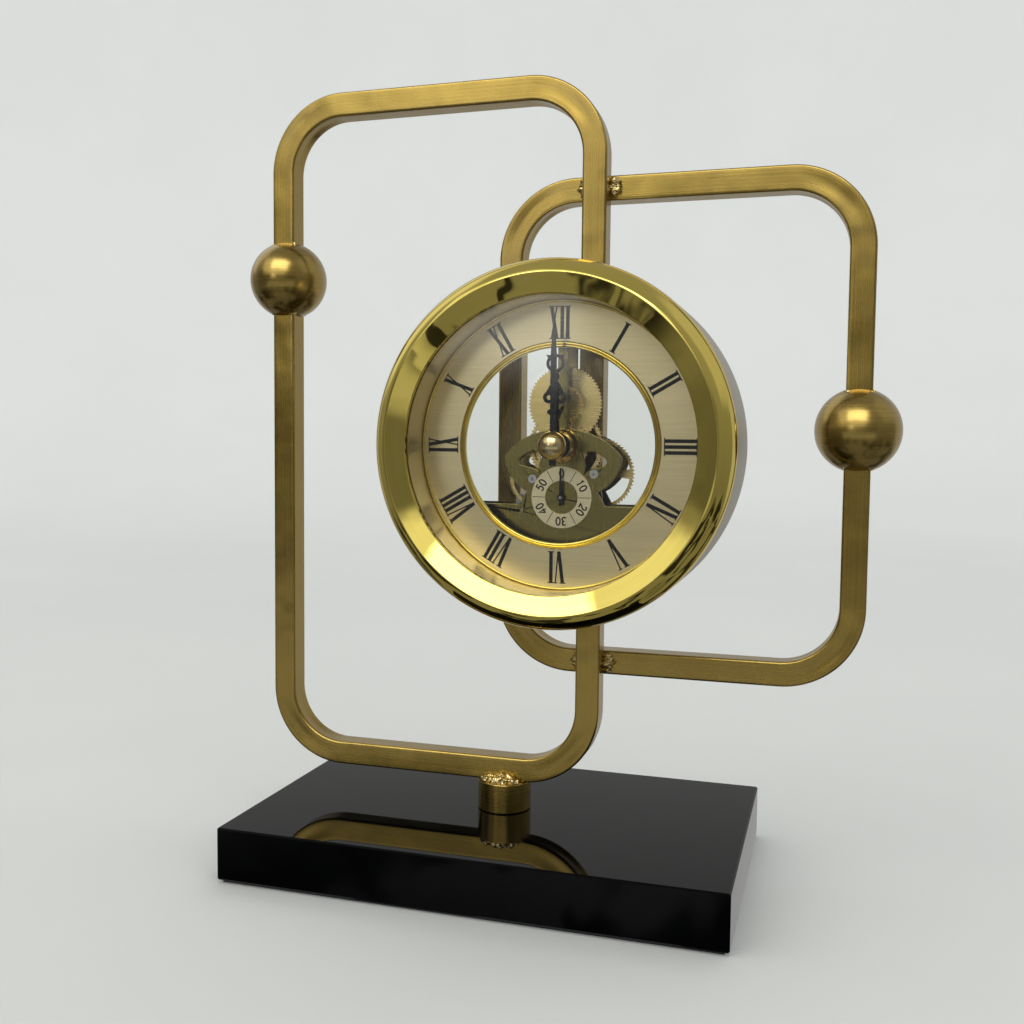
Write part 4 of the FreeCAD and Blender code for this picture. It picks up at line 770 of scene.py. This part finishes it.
def make_world():
    """Even light for matt surfaces; glossy rays see a made-up room of soft-edged cards instead."""
    world = bpy.data.worlds.new("studio")
    SCENE.world = world
    world.use_nodes = True
    tree = world.node_tree
    background = tree.nodes["Background"]
    straight = put(tree, "ShaderNodeTexCoord").outputs["Generated"]
    waver = put(tree, "ShaderNodeTexNoise", {"Vector": straight, "Scale": 3.0, "Detail": 2.0})
    shifted = put(tree, "ShaderNodeVectorMath", {0: waver.outputs["Color"], 1: (-0.5, -0.5, -0.5)},
                  operation="ADD")
    small = put(tree, "ShaderNodeVectorMath", {0: shifted.outputs[0], "Scale": 0.16}, operation="SCALE")
    ray = put(tree, "ShaderNodeVectorMath", {0: straight, 1: small.outputs[0]}, operation="ADD").outputs[0]
    level = put(tree, "ShaderNodeSeparateXYZ", {0: ray}).outputs["Z"]
    room = put(tree, "ShaderNodeMapRange", {"Value": level, "From Min": -0.5, "From Max": 0.75,
                                            "To Min": 0.18, "To Max": 0.32},
               interpolation_type="SMOOTHSTEP").outputs[0]
    for panel in ROOM:
        room = card(tree, ray, room, *panel)
    clutter = put(tree, "ShaderNodeTexNoise", {"Vector": ray, "Scale": 3.4, "Detail": 3.0,
                                               "Distortion": 0.8})
    shade = put(tree, "ShaderNodeMapRange", {"Value": clutter.outputs["Fac"], "From Min": 0.5,
                                             "From Max": 0.55, "To Min": 1.15, "To Max": 0.12},
                interpolation_type="SMOOTHSTEP")
    low = put(tree, "ShaderNodeMapRange", {"Value": level, "From Min": -0.4, "From Max": -0.28, "To Min": 1.0,
                                           "To Max": 0.0}, interpolation_type="SMOOTHSTEP").outputs[0]
    shaded = put(tree, "ShaderNodeMath", {0: room, 1: shade.outputs[0]}, operation="MULTIPLY").outputs[0]
    room = put(tree, "ShaderNodeMix", {"Factor": low, "A": room, "B": shaded}).outputs[0]
    room = card(tree, straight, room, *PAPER)
    glossy = put(tree, "ShaderNodeLightPath").outputs["Is Glossy Ray"]
    strength = put(tree, "ShaderNodeMix", {"Factor": glossy, "A": PLAIN_LIGHT, "B": room}).outputs[0]
    background.inputs["Color"].default_value = (1.0, 0.995, 0.975, 1)
    tree.links.new(strength, background.inputs["Strength"])


PLAIN_LIGHT = 0.69
ROOM = [
    # azimuth, elevation, half width, half height, softness, brightness
    (-18, 36, 0.8, 0.44, 0.2, 1.0),       # window wall, ahead and above
    (-4, 42, 0.42, 0.24, 0.06, 3.5),      # the window
    (-120, 35, 0.5, 0.4, 0.25, 0.8),      # second window, to the left
    (100, 40, 0.5, 0.4, 0.25, 0.5),       # third window, to the right
    (-42, 2, 0.3, 0.22, 0.2, 0.10),       # dark furniture, level with the clock
    (33, 0, 0.25, 0.3, 0.2, 0.16),
    (-66, 0, 0.24, 0.3, 0.2, 0.14),
    (2, -17, 0.9, 0.14, 0.12, 0.48),      # the lit table in front
    (-5, -42, 0.8, 0.16, 0.3, 0.2),       # the table's near edge
    (-20, 9, 0.10, 0.09, 0.05, 1.8),      # lamp that glares in the glass
    (-61, 14, 0.08, 0.14, 0.08, 0.05),    # the room's dark corners
]
PAPER = (180, 4, 2.6, 0.72, 0.4, 0.46)      # the paper behind the clock


def area_lamp(name, place, target, width, height, power, colour=(1, 1, 1)):
    light = bpy.data.lights.new(name, "AREA")
    light.shape = "RECTANGLE"
    light.size, light.size_y = width, height
    light.energy = power
    light.color = colour
    lamp = bpy.data.objects.new(name, light)
    lamp.location = place
    lamp.rotation_euler = (Vector(target) - Vector(place)).to_track_quat("-Z", "Y").to_euler()
    lamp.visible_glossy = False
    SCENE.collection.objects.link(lamp)


def make_lights():
    aim = Vector((0.0, 0.0, 0.12))
    area_lamp("key", (-0.75, -0.75, 1.15), aim, 1.3, 1.3, 5.0, (1.0, 0.985, 0.95))
    area_lamp("fill", (0.95, -0.7, 0.75), aim, 0.6, 0.8, 2.0, (1.0, 0.99, 0.97))
    area_lamp("top", (0.1, 0.35, 1.4), aim, 1.0, 1.0, 5.0)


CAMERA_LENS = 37.93
CAMERA_PLACE = (0.1066, -0.3451, 0.1420)
CAMERA_ANGLES = (16.92, 90 - 3.71, 0.59)        # yaw, tilt, roll


def make_camera():
    camera = bpy.data.cameras.new("camera")
    camera.sensor_width = 36.0
    camera.lens = CAMERA_LENS
    camera.clip_start = 0.01
    viewer = bpy.data.objects.new("camera", camera)
    yaw, tilt, roll = (math.radians(angle) for angle in CAMERA_ANGLES)
    viewer.matrix_world = (Matrix.Translation(CAMERA_PLACE) @ Matrix.Rotation(yaw, 4, "Z")
                           @ Matrix.Rotation(tilt, 4, "X") @ Matrix.Rotation(roll, 4, "Z"))
    SCENE.collection.objects.link(viewer)
    SCENE.camera = viewer


SCENE.view_settings.view_transform = "Standard"
make_camera()
make_stage()
make_world()
make_lights()
finish_nodes()
make_loop("front_loop_tube", "front_loop")
make_loop("rear_loop_tube", "rear_loop")
make_case()
make_spacers()
make_welds()
make_brazes()
make_numerals()
make_seconds_print()
